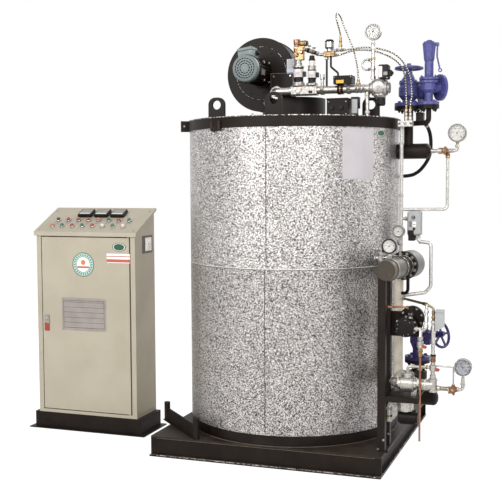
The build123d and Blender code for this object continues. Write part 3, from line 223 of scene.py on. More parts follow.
def make_finishes(colours):
    """Every finish, named for what the real one is."""
    # Stucco aluminium jacket: warm silver, whose facets each catch the light their own way; those glints are
    # painted into the colour as dark and pale facets. The real facets are about 1 mm wide, which is too fine
    # to show, so they are drawn as coarse as the Emboss size
    cell = colours.emboss / MM
    finishes["jacket"] = stucco_aluminium("stucco_aluminium", "#262120", colours.jacket, "#fbf8f5", cell)
    # The lower course of the same sheet, in darker tones: painted shade near the ground
    tones = ("#2b2624", "#918987", "#e6e2df")
    finishes["shaded_lower_jacket"] = stucco_aluminium("shaded_stucco_aluminium", *tones, cell)
    # Paint on edges that are walked on and knocked: bright steel shows through in flecks
    finishes["worn"] = chipped_paint("chipped_black_paint", "#1f1915", "#e6e2dd", 11, 0.50)
    # Glass of the dials: clear and flat
    glass = {"Base_Color": linear("#ffffff"), "Transmission_Weight": 1, "Roughness": 0.03, "IOR": 1.45}
    finishes["lens"] = new_material("dial_glass", **glass)[0]
    # Name, the two tones, roughness, metal, patch, share, grain, depth, wander, gloss and shine
    plain = {
        # Cut edge of the sheet, near white as a painted highlight; dark lines of joints and print, which also
        # paint the shadow in the laps
        "cut_edge_and_highlight": ("cut_aluminium_edge_and_highlight", "#f1efec", "#c9c5c1", 0.3, 0.6, 14, 0.7, 1, 0.02),
        "dark_lines_and_lap_shadow": ("dark_lines_and_painted_lap_shadow", "#4a4440", "#332e2b", 0.6, 0, 14, 0.8, 1.5, 0.02, 0.08, 0, 0.1),
        # Plain aluminium edging: brighter and smoother than the jacket
        "edging": ("aluminium_edging", "#b9b5b2", "#8f8a87", 0.32, 0.9, 30, 0.6, 1, 0.02),
        # Black alkyd paint, brushed on rolled steel: nearly matt, with brown dust in it
        "black": ("black_alkyd_paint", colours.paint, "#231b16", 0.45, 0, 90, 0.7, 2.5, 0.05, 0.10, 0, 0.14),
        # The same paint on flat plate, where dust lies thicker and paler
        "deck": ("dusty_black_paint", "#231c17", "#382e26", 0.52, 0, 70, 0.8, 2, 0.04, 0.10, 0, 0.18),
        # Pale dust on ledges of the skid, and painted highlights along edges of black parts
        "dust": ("dust_and_painted_highlight_on_black_paint", "#6a6057", "#453d36", 0.6, 0, 24, 0.9, 2, 0.05, 0.08, 0, 0.15),
        # Hot-dip galvanised pipe: pale grey with spangle
        "galvanised": ("galvanised_steel", "#c6c2bb", "#7d7872", 0.32, 0.85, 8, 0.8, 1.2, 0.03),
        # Die-cast zinc: softer and greyer, with casting grain
        "cast": ("diecast_zinc", "#b3afaa", "#77726d", 0.40, 0.8, 12, 0.8, 1.6, 0.08),
        # Pipe and conduit in white: paint over galvanising, rubbed grey
        "pale_pipe": ("white_painted_pipe", "#d6d3cf", "#85817c", 0.38, 0.5, 6, 0.85, 1.4, 0.03),
        # Machined steel: bright and fine
        "steel": ("machined_steel", "#bcbab6", "#7f7b77", 0.24, 1, 10, 0.8, 0.8, 0.01),
        # Braided steel over rubber: dull, a little yellow with oil
        "braid": ("braided_steel_wire", "#a79a82", "#665c4b", 0.36, 0.9, 3, 0.9, 1.2, 0.06),
        # Corrugated stainless hose: bright crests, and brown grime with painted shade in the grooves
        "crest": ("stainless_hose_crest", "#c9c3b8", "#a0998c", 0.26, 1, 9, 0.7, 0.8, 0.02),
        "groove_grime_and_shade": ("stainless_hose_groove_grime_and_shade", "#41382e", "#2a231c", 0.5, 0.4, 9, 0.7, 0.8, 0.03),
        # Zinc-plated bolts: pale, a little dull
        "zinc": ("zinc_plated_steel", "#aeaaa3", "#7a756e", 0.33, 0.9, 6, 0.7, 0.8, 0.02),
        # Blue-violet enamel over rough sand castings, and the darker enamel of the lower valve
        "violet": ("violet_cast_enamel", colours.valves, "#393969", 0.4, 0, 16, 0.8, 1.6, 0.1, 0.08,
                   0.05, 0.4),
        "dark_violet": ("dark_violet_cast_enamel", "#30265f", "#221b47", 0.4, 0, 25, 0.7, 1.6, 0.08, 0.08,
                        0.05, 0.35),
        # Cream oil paint on the water column
        "cream": ("cream_oil_paint", "#cdc5b5", "#aca395", 0.45, 0, 45, 0.6, 1.8, 0.04),
        # Beige powder coat on sheet steel: fine orange peel
        "beige": ("beige_powder_coat", colours.cabinet, "#a09886", 0.45, 0, 220, 0.8, 1.6, 0.04, 0.04,
                  0, 0.4),
        # Grey-green machine enamel on the fan cowl and its terminal box
        "machine": ("grey_machine_enamel", "#727b7b", "#606968", 0.42, 0, 30, 0.6, 1.5, 0.05, 0.08, 0, 0.4),
        # Enamels of the level chamber: warm grey barrel, paler drum and browner end
        "warm_grey": ("warm_grey_enamel", "#5c564d", "#474139", 0.42, 0, 30, 0.6, 1.5, 0.05, 0.08, 0, 0.4),
        "drum": ("pale_grey_enamel_drum", "#6f6c66", "#5a5752", 0.42, 0, 30, 0.6, 1.5, 0.05, 0.08, 0, 0.4),
        "olive": ("olive_grey_enamel", "#3d372d", "#312b22", 0.5, 0, 14, 0.7, 1.5, 0.08, 0.08, 0, 0.3),
        # Cast brass, a little tarnished
        "brass": ("cast_brass", "#ad946c", "#5d4629", 0.27, 1, 7, 0.8, 0.9, 0.03),
        # Bronze with a red-brown skin
        "bronze": ("red_bronze", "#926c57", "#573a2b", 0.32, 1, 7, 0.8, 1, 0.03),
        # Drawn copper tube
        "copper": ("drawn_copper", "#a6735b", "#7c503c", 0.28, 1, 16, 0.6, 0.8, 0.02),
        # Black rubber, matt
        "rubber": ("black_rubber", "#110f0e", "#1e1b19", 0.6, 0, 20, 0.6, 1.2, 0.04, 0.08, 0, 0.16),
        # Black moulded plastic
        "plastic": ("black_moulded_plastic", "#131110", "#1f1c1b", 0.42, 0, 25, 0.5, 1, 0.02, 0.08, 0, 0.22),
        # Red PVC-dipped handles, and the red enamel of the door's strip
        "red": ("red_dipped_pvc", "#9d3426", "#85291c", 0.35, 0, 14, 0.6, 1.2, 0.03, 0.05, 0.2),
        "strip_red": ("red_enamel_strip", "#b5584c", "#a54e43", 0.4, 0, 30, 0.6, 1.2, 0.02),
        # White enamelled tin: dials and bare plates
        "white": ("white_enamel", "#e9e7e1", "#dedbd3", 0.36, 0, 40, 0.5, 1.2, 0.01),
        # White moulded casing of the valve coils
        "coil": ("white_moulded_plastic", "#d9d3d0", "#c6bfbb", 0.4, 0, 30, 0.5, 1.2, 0.02),
        # Bare sheet stock: pale, satin, no printing
        "sheet": ("pale_satin_sheet", "#bab4b8", "#aca6aa", 0.42, 0, 120, 0.6, 2, 0.02),
        # Bare anodised plates: natural aluminium, and gold
        "plate": ("anodised_aluminium_plate", "#a39b96", "#918984", 0.36, 0.7, 60, 0.6, 1, 0.01),
        "gold_plate": ("gold_anodised_plate", "#b9953d", "#a5822f", 0.36, 0.6, 20, 0.5, 1, 0.01),
        # Grey moulded plastic, and the enamels of the instrument cases
        "grey_plastic": ("grey_moulded_plastic", "#8d8c8a", "#7c7b79", 0.42, 0, 40, 0.5, 1.2, 0.02),
        "pale_grey": ("pale_grey_enamel", "#a2a4a3", "#929493", 0.4, 0, 60, 0.6, 1.4, 0.03),
        "pale_blue": ("pale_blue_enamel", "#b4bcc9", "#a5adba", 0.4, 0, 60, 0.6, 1.4, 0.03),
        # Grey dial face and the printing ink on it
        "dial_grey": ("grey_dial_enamel", "#a3a6ac", "#999ca2", 0.4, 0, 40, 0.5, 1.2, 0.01),
        "ink": ("dial_ink", "#1a1a1c", "#232326", 0.5, 0, 10, 0.4, 1, 0),
        # Enamels of the badges
        "mint": ("mint_enamel", "#a9c4bb", "#9ab6ad", 0.4, 0, 60, 0.6, 1.4, 0.02),
        "orange": ("orange_enamel", "#c2793f", "#ad6733", 0.4, 0, 30, 0.6, 1.4, 0.02),
        "badge_green": ("dark_green_enamel", "#1f4f3a", "#1a4231", 0.4, 0, 30, 0.5, 1.2, 0.02),
        # Face of the panel meters
        "meter": ("grey_meter_face", "#8e887f", "#7d776f", 0.4, 0, 30, 0.5, 1.2, 0.02),
        # Painted shade inside openings: soft black
        "shadow": ("painted_shade_in_openings", "#0c0c0c", "#121212", 0.8, 0, 10, 0.4, 1, 0, 0.08, 0, 0.1),
    }
    for key, values in plain.items():
        finishes[key] = surface(*values)
    # Moulded polycarbonate lenses, unlit: glossy and deep in colour
    hues = {"red": "#9a2a22", "green": "#2b5c43", "orange": "#c65f33", "white": "#cfc6b8", "dark": "#1b1c1c"}
    for key, hue in hues.items():
        name = "lamp_lens_" + key
        finishes["lamp_" + key] = surface(name, hue, hue, 0.18, 0, 6, 0.5, 1, 0.02, 0.05, 0.4)


# ---- Forms


def aim(start, way, spin=0.0):
    """The matrix that stands a form's own Z along way at start, in millimetres."""
    turn = Vector(way).to_track_quat("Z", "Y").to_matrix().to_4x4()
    return moved(*start) @ turn @ Matrix.Rotation(spin, 4, "Z")


def moved(x, y, z):
    """The matrix that moves a form to a place in millimetres."""
    return Matrix.Translation(Vector((x, y, z)) * MM)


def spread(centre, half):
    """The limits of a block about a centre."""
    return [value for c, h in zip(centre, half) for value in (c - h, c + h)]


def placed(name, data):
    """A new object in the scene."""
    thing = bpy.data.objects.new(name, data)
    bpy.context.scene.collection.objects.link(thing)
    return thing


def plain_mesh(thing):
    """The mesh that an object's curve or modifiers give."""
    bpy.context.view_layer.update()
    return bpy.data.meshes.new_from_object(thing.evaluated_get(bpy.context.evaluated_depsgraph_get()))


def softened(profile, size):
    """A turned profile with its sharp corners broken by small flats."""
    made = [profile[0]]
    for before, here, after in zip(profile, profile[1:], profile[2:]):
        back, on = Vector(before) - Vector(here), Vector(after) - Vector(here)
        if back.length > 2.2 * size and on.length > 2.2 * size and back.angle(on) < radians(150):
            made += [tuple(Vector(here) + arm.normalized() * size) for arm in (back, on)]
        else:
            made.append(here)
    return made + [profile[-1]]


class Form:
    """Gathers closed forms of any finish into one piece. Sizes go in as millimetres."""

    def __init__(self):
        self.points, self.faces, self.slots, self.names = [], [], [], []

    def add(self, points, faces, finish, matrix=None):
        """A closed form of one finish, moved by a matrix."""
        first = len(self.points)
        if finish not in self.names:
            self.names.append(finish)
        slot = self.names.index(finish)
        for point in points:
            place = Vector(point) * MM
            self.points.append(tuple(matrix @ place) if matrix else tuple(place))
        self.faces += [[first + i for i in face] for face in faces]
        self.slots += [slot] * len(faces)
        return self

    def box(self, x0, x1, y0, y1, z0, z1, finish, matrix=None, soft=1.0):
        """A block with its edges broken."""
        s = min(soft, (x1 - x0) / 3, (y1 - y0) / 3, (z1 - z0) / 3)
        low, high = (x0, y0, z0), (x1, y1, z1)
        points, faces, index = [], [], {}
        for corner in range(8):
            sign = [corner >> k & 1 for k in range(3)]
            for axis in range(3):
                point = [high[k] if sign[k] else low[k] for k in range(3)]
                for k in range(3):
                    if k != axis:
                        point[k] += -s if sign[k] else s
                index[corner, axis] = len(points)
                points.append(point)
        for axis in range(3):
            a, b = (axis + 1) % 3, (axis + 2) % 3
            for side in (0, 1):
                ring = [side << axis | p << a | q << b for p, q in ((0, 0), (1, 0), (1, 1), (0, 1))]
                face = [index[c, axis] for c in ring]
                faces.append(face if side else face[::-1])
            for p, q in ((0, 0), (1, 0), (1, 1), (0, 1)):
                c0 = p << a | q << b
                c1 = c0 | 1 << axis
                face = [index[c0, a], index[c1, a], index[c1, b], index[c0, b]]
                faces.append(face[::-1] if (p + q) % 2 == 0 else face)
        for corner in range(8):
            face = [index[corner, k] for k in range(3)]
            faces.append(face if bin(corner).count("1") % 2 else face[::-1])
        return self.add(points, faces, finish, matrix)

    def turned(self, start, way, profile, finish, sides=40, soft=1.0, matrix=None):
        """A form turned about way from start. The profile is pairs of distance along it and radius."""
        outline = softened(list(profile), soft) if soft else list(profile)
        points, faces, rings = [], [], []
        for along, radius in outline:
            if radius < 1e-6:
                rings.append([len(points)])
                points.append((0, 0, along))
                continue
            rings.append(list(range(len(points), len(points) + sides)))
            for k in range(sides):
                turn = 2 * pi * k / sides
                points.append((radius * cos(turn), radius * sin(turn), along))
        for low, high in zip(rings, rings[1:]):
            if len(low) == 1 and len(high) == 1:
                continue
            for k in range(sides):
                j = (k + 1) % sides
                if len(low) == 1:
                    faces.append([low[0], high[j], high[k]])
                elif len(high) == 1:
                    faces.append([low[k], low[j], high[0]])
                else:
                    faces.append([low[k], low[j], high[j], high[k]])
        if len(rings[0]) > 1:
            faces.append(rings[0][::-1])
        if len(rings[-1]) > 1:
            faces.append(list(rings[-1]))
        return self.add(points, faces, finish, matrix or aim(start, way))

    def rod(self, start, end, radius, finish, sides=20, soft=0.6):
        """A round bar between two points."""
        way = Vector(end) - Vector(start)
        long = way.length
        return self.turned(start, way, [(0, 0), (0, radius), (long, radius), (long, 0)], finish, sides, soft)

    def stack(self, start, way, steps, sides=40, soft=1.0):
        """Coaxial steps, each a length, one or two radii and a finish."""
        along = 0.0
        for length, *radii, finish in steps:
            end = along + length
            profile = [(along, 0), (along, radii[0]), (end, radii[-1]), (end, 0)]
            self.turned(start, way, profile, finish, sides, soft)
            along = end
        return self

    def nut(self, start, way, across, height, finish):
        """A hexagon with its corners turned off."""
        outline = [(0, across * 0.93), (1.2, across), (height - 1.2, across), (height, across * 0.93)]
        return self.turned(start, way, outline, finish, 6, 0)

    def nuts(self, way, finish, *rows):
        """Nuts of one finish that face one way. Each row is a place, the corner radius and the height."""
        for *place, across, height in rows:
            self.nut(place, way, across, height, finish)

    def screws(self, way, profile, *places, finish="zinc", sides=12):
        """Screw heads of one profile at several places."""
        for place in places:
            self.turned(place, way, profile, finish, sides, 0.3)

    def hollow(self, start, way, outer, inner, height, finish, sides=40, soft=0.8):
        """A ring of rectangular section."""
        outline = softened([(0, inner), (0, outer), (height, outer), (height, inner), (0, inner)], soft)
        return self.lathe(start, way, outline, finish, sides)

    def lathe(self, start, way, outline, finish, sides=40):
        """A closed outline that doesn't reach the axis, turned about it."""
        outline = outline[:-1] if outline[0] == outline[-1] else outline
        points, faces, count = [], [], len(outline)
        for k in range(sides):
            turn = 2 * pi * k / sides
            points += [(radius * cos(turn), radius * sin(turn), along) for along, radius in outline]
        for k in range(sides):
            j = (k + 1) % sides
            for i in range(count):
                n = (i + 1) % count
                faces.append([k * count + i, j * count + i, j * count + n, k * count + n])
        return self.add(points, faces, finish, aim(start, way))

    def torus(self, centre, way, radius, thick, finish, sides=48, around=12):
        """A round ring about way."""
        steps = [2 * pi * i / around for i in range(around)]
        outline = [(thick * sin(step), radius + thick * cos(step)) for step in steps]
        return self.lathe(centre, way, outline[::-1], finish, sides)

    def slab(self, outline, low, high, finish, matrix=None):
        """A flat outline given a thickness along its own Z."""
        count = len(outline)
        points = [(x, y, low) for x, y in outline] + [(x, y, high) for x, y in outline]
        faces = [list(range(count))[::-1], list(range(count, 2 * count))]
        faces += [[i, (i + 1) % count, count + (i + 1) % count, count + i] for i in range(count)]
        return self.add(points, faces, finish, matrix)

    def take(self, mesh, finish=None):
        """Adds a mesh that is already in metres and in its place."""
        first = len(self.points)
        names = [finish] if finish else [m.name for m in mesh.materials]
        for name in names:
            if name not in self.names:
                self.names.append(name)
        self.points += [tuple(v.co) for v in mesh.vertices]
        for face in mesh.polygons:
            self.faces.append([first + i for i in face.vertices])
            self.slots.append(self.names.index(names[face.material_index if len(names) > 1 else 0]))
        bpy.data.meshes.remove(mesh)
        return self

    def make(self, name, slot, *stands_for, body="boiler"):
        """Makes the piece, with the nodes that it replaces and the body that it rides on. The slot is not
        used.
        """
        mesh = bpy.data.meshes.new(name)
        mesh.from_pydata(self.points, [], self.faces)
        for key in self.names:
            mesh.materials.append(finishes.get(key) or bpy.data.materials[key])
        mesh.polygons.foreach_set("material_index", self.slots)
        mesh.polygons.foreach_set("use_smooth", [True] * len(mesh.polygons))
        mesh.update()
        mesh.set_sharp_from_angle(angle=radians(32))
        piece = placed(name, mesh)
        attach(piece, body)
        if stands_for:
            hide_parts(*stands_for)
        return piece


# ---- Node trees for what repeats

WHOLE, NUMBER, ARROW = "NodeSocketInt", "NodeSocketFloat", "NodeSocketVector"


def new_tree(name, inputs):
    """A geometry tree with named inputs and a finish, its input's sockets and its output."""
    tree = bpy.data.node_groups.new(name, "GeometryNodeTree")
    inputs = [("Geometry", "NodeSocketGeometry", None), *inputs, ("Finish", "NodeSocketMaterial", None)]
    for label, kind, value in inputs:
        socket = tree.interface.new_socket(name=label, in_out="INPUT", socket_type=kind)
        if value is not None:
            socket.default_value = value
    tree.interface.new_socket(name="Geometry", in_out="OUTPUT", socket_type="NodeSocketGeometry")
    return tree, tree.nodes.new("NodeGroupInput").outputs, tree.nodes.new("NodeGroupOutput")


def close_tree(tree, give, last, out):
    """Realises the copies, gives them their finish and ends the tree."""
    real = put(tree, "GeometryNodeRealizeInstances", links={0: last.outputs[0]})
    done = put(tree, "GeometryNodeSetMaterial", links={0: real.outputs[0], "Material": give["Finish"]})
    tree.links.new(done.outputs[0], out.inputs[0])
    return tree


def bolt_ring_tree():
    """Hexagon heads on washers and studs, set round a circle and standing along Z."""
    tree, give, out = new_tree("bolt_ring", [
        ("Count", WHOLE, 8), ("Circle", NUMBER, 0.06), ("Across", NUMBER, 0.008), ("Height", NUMBER, 0.006),
        ("Shank", NUMBER, 0.0)])
    ring = put(tree, "GeometryNodeMeshCircle", links={"Vertices": give["Count"], "Radius": give["Circle"]})
    whole = put(tree, "GeometryNodeJoinGeometry")
    # Head, washer and stud: corners, radius and height against the sizes given, and whether it is raised
    for corners, wide, length, share, raised in ((6, 1, "Height", 1, True), (14, 1.35, "Height", 0.3, False),
                                                 (10, 0.55, "Shank", 1, True)):
        reach = put(tree, "ShaderNodeMath", {1: wide}, {0: give["Across"]}, operation="MULTIPLY")
        tall = put(tree, "ShaderNodeMath", {1: share}, {0: give[length]}, operation="MULTIPLY")
        size = {"Radius": reach.outputs[0], "Depth": tall.outputs[0]}
        made = put(tree, "GeometryNodeMeshCylinder", {"Vertices": corners}, size)
        half = put(tree, "ShaderNodeMath", {1: 0.5 * raised}, {0: give[length]}, operation="MULTIPLY")
        lift = put(tree, "ShaderNodeCombineXYZ", links={2: half.outputs[0]})
        made = put(tree, "GeometryNodeTransform", links={0: made.outputs[0], "Translation": lift.outputs[0]})
        tree.links.new(made.outputs[0], whole.inputs[0])
    sockets = {"Points": ring.outputs[0], "Instance": whole.outputs[0]}
    copies = put(tree, "GeometryNodeInstanceOnPoints", links=sockets)
    return close_tree(tree, give, copies, out)


def tick_arc_tree():
    """Flat bars round an arc, each pointing at the middle."""
    tree, give, out = new_tree("tick_arc", [
        ("Count", WHOLE, 41), ("Circle", NUMBER, 0.03), ("Length", NUMBER, 0.004), ("Width", NUMBER, 0.0006),
        ("Thickness", NUMBER, 0.0003), ("Start", NUMBER, -0.785), ("Sweep", NUMBER, 4.712)])
    sockets = {"Resolution": give["Count"], "Radius": give["Circle"], "Start Angle": give["Start"],
               "Sweep Angle": give["Sweep"]}
    arc = put(tree, "GeometryNodeCurveArc", links=sockets, mode="RADIUS")
    dots = put(tree, "GeometryNodeCurveToPoints", links={0: arc.outputs[0]}, mode="EVALUATED")
    sides = {0: give["Length"], 1: give["Width"], 2: give["Thickness"]}
    size = put(tree, "ShaderNodeCombineXYZ", links=sides)
    bar = put(tree, "GeometryNodeMeshCube", links={"Size": size.outputs[0]})
    spot = {"Vector": put(tree, "GeometryNodeInputPosition").outputs[0]}
    turn = put(tree, "FunctionNodeAlignRotationToVector", links=spot, axis="X", pivot_axis="Z")
    sockets = {"Points": dots.outputs[0], "Instance": bar.outputs[0], "Rotation": turn.outputs[0]}
    copies = put(tree, "GeometryNodeInstanceOnPoints", links=sockets)
    return close_tree(tree, give, copies, out)


def stud_line_tree():
    """Low round heads at even steps along a line."""
    tree, give, out = new_tree("stud_line", [
        ("Count", WHOLE, 10), ("Step", ARROW, None), ("Head", NUMBER, 0.004), ("Rise", NUMBER, 0.0015)])
    line = put(tree, "GeometryNodeMeshLine", links={"Count": give["Count"], "Offset": give["Step"]})
    head = put(tree, "GeometryNodeMeshUVSphere", {"Segments": 12, "Rings": 6}, {"Radius": give["Head"]})
    flat = put(tree, "ShaderNodeMath", links={0: give["Rise"], 1: give["Head"]}, operation="DIVIDE")
    squash = put(tree, "ShaderNodeCombineXYZ", {0: 1, 1: 1}, {2: flat.outputs[0]})
    low = put(tree, "GeometryNodeTransform", links={0: head.outputs[0], "Scale": squash.outputs[0]})
    sockets = {"Points": line.outputs[0], "Instance": low.outputs[0]}
    copies = put(tree, "GeometryNodeInstanceOnPoints", links=sockets)
    return close_tree(tree, give, copies, out)


def bent_pipe_tree():
    """A round pipe along a line of corners, with swept bends."""
    tree, give, out = new_tree("bent_pipe", [("Radius", NUMBER, 0.006), ("Bend", NUMBER, 0.02)])
    line = put(tree, "GeometryNodeMeshToCurve", links={0: give[0]})
    sockets = {0: line.outputs[0], "Radius": give["Bend"]}
    swept = put(tree, "GeometryNodeFilletCurve", {"Count": 8, "Limit Radius": True}, sockets, mode="POLY")
    size = {"Radius": give["Radius"]}
    section = put(tree, "GeometryNodeCurvePrimitiveCircle", {"Resolution": 16}, size, mode="RADIUS")
    sockets = {0: swept.outputs[0], 1: section.outputs[0]}
    skin = put(tree, "GeometryNodeCurveToMesh", {"Fill Caps": True}, sockets)
    return close_tree(tree, give, skin, out)


def grown(kind, matrix, finish, settings, corners=((0, 0, 0),)):
    """Runs a node tree once and gives its mesh, set in its place."""
    if kind not in trees:
        makers = {"bolts": bolt_ring_tree, "ticks": tick_arc_tree, "studs": stud_line_tree,
                  "pipe": bent_pipe_tree}
        trees[kind] = makers[kind]()
    mesh = bpy.data.meshes.new("seed")
    edges = [(i, i + 1) for i in range(len(corners) - 1)]
    mesh.from_pydata([tuple(Vector(c) * MM) for c in corners], edges, [])
    seed = placed("seed", mesh)
    modifier = seed.modifiers.new("grow", "NODES")
    modifier.node_group = trees[kind]
    settings = dict(settings, Finish=finishes[finish])
    for item in trees[kind].interface.items_tree:
        if item.in_out == "INPUT" and item.name in settings:
            modifier[item.identifier] = settings[item.name]
    made = plain_mesh(seed)
    seed.modifiers.remove(modifier)
    bpy.data.objects.remove(seed)
    bpy.data.meshes.remove(mesh)
    if matrix is not None:
        made.transform(matrix)
    return made


def bars(form, place, count, circle, size, finish, start=-0.785, sweep=None):
    """Bars of one size in millimetres round a circle, evenly or over a sweep, standing on a matrix."""
    settings = dict(zip(("Length", "Width", "Thickness"), (value * MM for value in size)))
    settings |= {"Count": count, "Circle": circle * MM, "Start": start}
    settings["Sweep"] = sweep or 2 * pi * (count - 1) / count
    form.take(grown("ticks", place, finish, settings), finish)


def bolts(form, centre, way, circle, count, across=9, height=8, finish="zinc", spin=0, shank=0):
    """A ring of bolts, whose sizes go in as millimetres."""
    settings = {"Circle": circle * MM, "Across": across * MM, "Height": height * MM, "Shank": shank * MM}
    form.take(grown("bolts", aim(centre, way, spin), finish, dict(settings, Count=count)), finish)


def bent(form, corners, radius, bend, finish):
    """A pipe through corners, whose sizes go in as millimetres."""
    form.take(grown("pipe", None, finish, {"Radius": radius * MM, "Bend": bend * MM}, corners), finish)


def letters(form, words, matrix, size, finish):
    """Plain numerals in the built-in font, as a thin solid."""
    curve = bpy.data.curves.new("numeral", "FONT")
    curve.body, curve.size, curve.extrude = words, size * MM, 0.15 * MM
    curve.align_x, curve.align_y = "CENTER", "CENTER"
    thing = placed("numeral", curve)
    mesh = plain_mesh(thing)
    bpy.data.objects.remove(thing)
    mesh.transform(matrix)
    form.take(mesh, finish)


# ---- Sizes that a user would change


class FinishColours(bpy.types.PropertyGroup):
    paint: FloatVectorProperty(
        name="Skid paint", description="Paint of the skid, band and burner",
        default=linear("#17110d")[:3], subtype="COLOR")
    jacket: FloatVectorProperty(
        name="Jacket", description="Middle tone of the jacket",
        default=linear("#a09896")[:3], subtype="COLOR")
    valves: FloatVectorProperty(
        name="Valves", description="Enamel of the steam valves",
        default=linear("#4d4d8b")[:3], subtype="COLOR")
    cabinet: FloatVectorProperty(
        name="Cabinet", description="Powder coat of the cabinet",
        default=linear("#aaa291")[:3], subtype="COLOR")
    emboss: FloatProperty(
        name="Emboss", description="Width of one facet of the jacket's emboss", default=0.0031, unit="LENGTH")


class HoseSizes(bpy.types.PropertyGroup):
    bore: FloatProperty(
        name="Hose diameter", description="Outside of the corrugated gas hoses", default=0.010, unit="LENGTH")
    pitch: FloatProperty(
        name="Corrugation", description="Distance between two crests", default=0.014, unit="LENGTH")
    drain: FloatProperty(
        name="Drain diameter", description="Outside of the rubber drain hose", default=0.020, unit="LENGTH")


class DialSizes(bpy.types.PropertyGroup):
    marks: IntProperty(name="Marks", description="Marks on each dial", default=41, min=11)
    sweep: FloatProperty(
        name="Sweep", description="Angle that the marks cover", default=4.712, subtype="ANGLE")


class StageSizes(bpy.types.PropertyGroup):
    daylight: FloatProperty(
        name="Room light", description="Strength of the light from all round", default=0.62, min=0.0)
    floor: FloatProperty(
        name="Floor width", description="Width of the pale floor", default=60.0, unit="LENGTH")


# ---- Hoses


def line_of(route):
    """The points along the smooth curve that has the route's points as its control points."""
    curve = bpy.data.curves.new("route", "CURVE")
    curve.dimensions = "3D"
    curve.resolution_u = 16
    spline = curve.splines.new("NURBS")
    spline.points.add(len(route) - 1)
    for point, place in zip(spline.points, route):
        point.co = (*place, 1.0)
    spline.order_u = 3
    spline.use_endpoint_u = True
    thing = placed("route", curve)
    mesh = plain_mesh(thing)
    points = [v.co.copy() for v in mesh.vertices]
    bpy.data.meshes.remove(mesh)
    bpy.data.objects.remove(thing)
    return points


def evenly(points, step):
    """Points at one spacing along a line, and the way that it runs at each."""
    lengths = [0.0]
    for a, b in zip(points, points[1:]):
        lengths.append(lengths[-1] + (b - a).length)
    count = max(8, round(lengths[-1] / step))
    made, k = [], 0
    for i in range(count + 1):
        along = lengths[-1] * i / count
        while k < len(points) - 2 and lengths[k + 1] < along:
            k += 1
        share = (along - lengths[k]) / max(1e-9, lengths[k + 1] - lengths[k])
        made.append(points[k].lerp(points[k + 1], share))
    ways = [(made[min(i + 1, count)] - made[max(i - 1, 0)]).normalized() for i in range(count + 1)]
    return made, ways, lengths[-1]


def hose_skin(name, route, radius, pitch, depth, finish, around=14):
    """A tube round the route's smooth line, with crests at each pitch."""
    points, ways, length = evenly(line_of(route), pitch / 4)
    side = ways[0].orthogonal().normalized()
    verts, faces, slots = [], [], []
    for i, (point, way) in enumerate(zip(points, ways)):
        side = (side - way * side.dot(way)).normalized()
        up = way.cross(side)
        reach = radius - depth * (0.5 - 0.5 * cos(pi * i / 2)) if depth else radius
        for k in range(around):
            turn = 2 * pi * k / around
            verts.append(tuple(point + (side * cos(turn) + up * sin(turn)) * reach))
    # Faces of the grooves, two rings in every four, take the groove finish: grime with painted shade
    for i in range(len(points) - 1):
        low, high = i * around, (i + 1) * around
        for k in range(around):
            j = (k + 1) % around
            faces.append([low + k, low + j, high + j, high + k])
            slots.append(int(i % 4 in (1, 2)))
    faces += [list(range(around))[::-1], list(range(len(verts) - around, len(verts)))]
    mesh = bpy.data.meshes.new(name)
    mesh.from_pydata(verts, [], faces)
    for key in (finish, "groove_grime_and_shade" if depth else finish):
        mesh.materials.append(finishes[key])
    mesh.polygons.foreach_set("material_index", slots + [0, 0])
    mesh.polygons.foreach_set("use_smooth", [True] * len(mesh.polygons))
    mesh.update()
    return placed(name, mesh), points, length


def make_hoses(sizes):
    """The skins of the free hoses and the crimped ends on them."""
    ends = Form()
    gas = (sizes.bore, sizes.pitch, 0.0012, "crest", "hose", 7.5, "brass")
    drain = (sizes.drain, 0.012, 0.0, "rubber", "rubber", 11.5, "steel")
    for node, route, stiff, kind in (
        ("loop_hose", LOOP_ROUTE, "limp", gas),
        ("upper_sensing_hose", UPPER_SENSING_ROUTE, "medium", gas),
        ("lower_sensing_hose", LOWER_SENSING_ROUTE, "medium", gas),
        ("drain_hose", DRAIN_ROUTE, "medium", drain),
    ):
        wide, pitch, depth, finish, slot, radius, metal = kind
        piece, points, length = hose_skin(node + "_skin", route, wide / 2, pitch, depth, finish)
        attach(piece, "boiler")
        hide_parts(node)
        for tip, towards in ((route[0], route[1]), (route[-1], route[-2])):
            start = Vector(tip) / MM
            way = (Vector(towards) - Vector(tip)).normalized()
            ends.hollow(start + way * 0.5, way, radius, radius - 1.6, 14, metal, 24)
            for along in (4, 10):
                ends.torus(start + way * along, way, radius - 0.2, 0.9, metal, 24, 6)
    ends.make("hose_ferrules", "brass")


# ---- Shell and lid


def shell_skin(form, bottom, top, radius, finish, wall=20):
    """A round course of sheet between two heights."""
    form.hollow((0, 0, bottom), UP, radius, radius - wall, top - bottom, finish, 256, 0.6)


def prism(form, low, high, finish):
    """A closed form between two outlines with the same number of points."""
    count = len(low)
    faces = [list(range(count))[::-1], list(range(count, 2 * count))]
    faces += [[i, (i + 1) % count, count + (i + 1) % count, count + i] for i in range(count)]
    form.add(low + high, faces, finish)


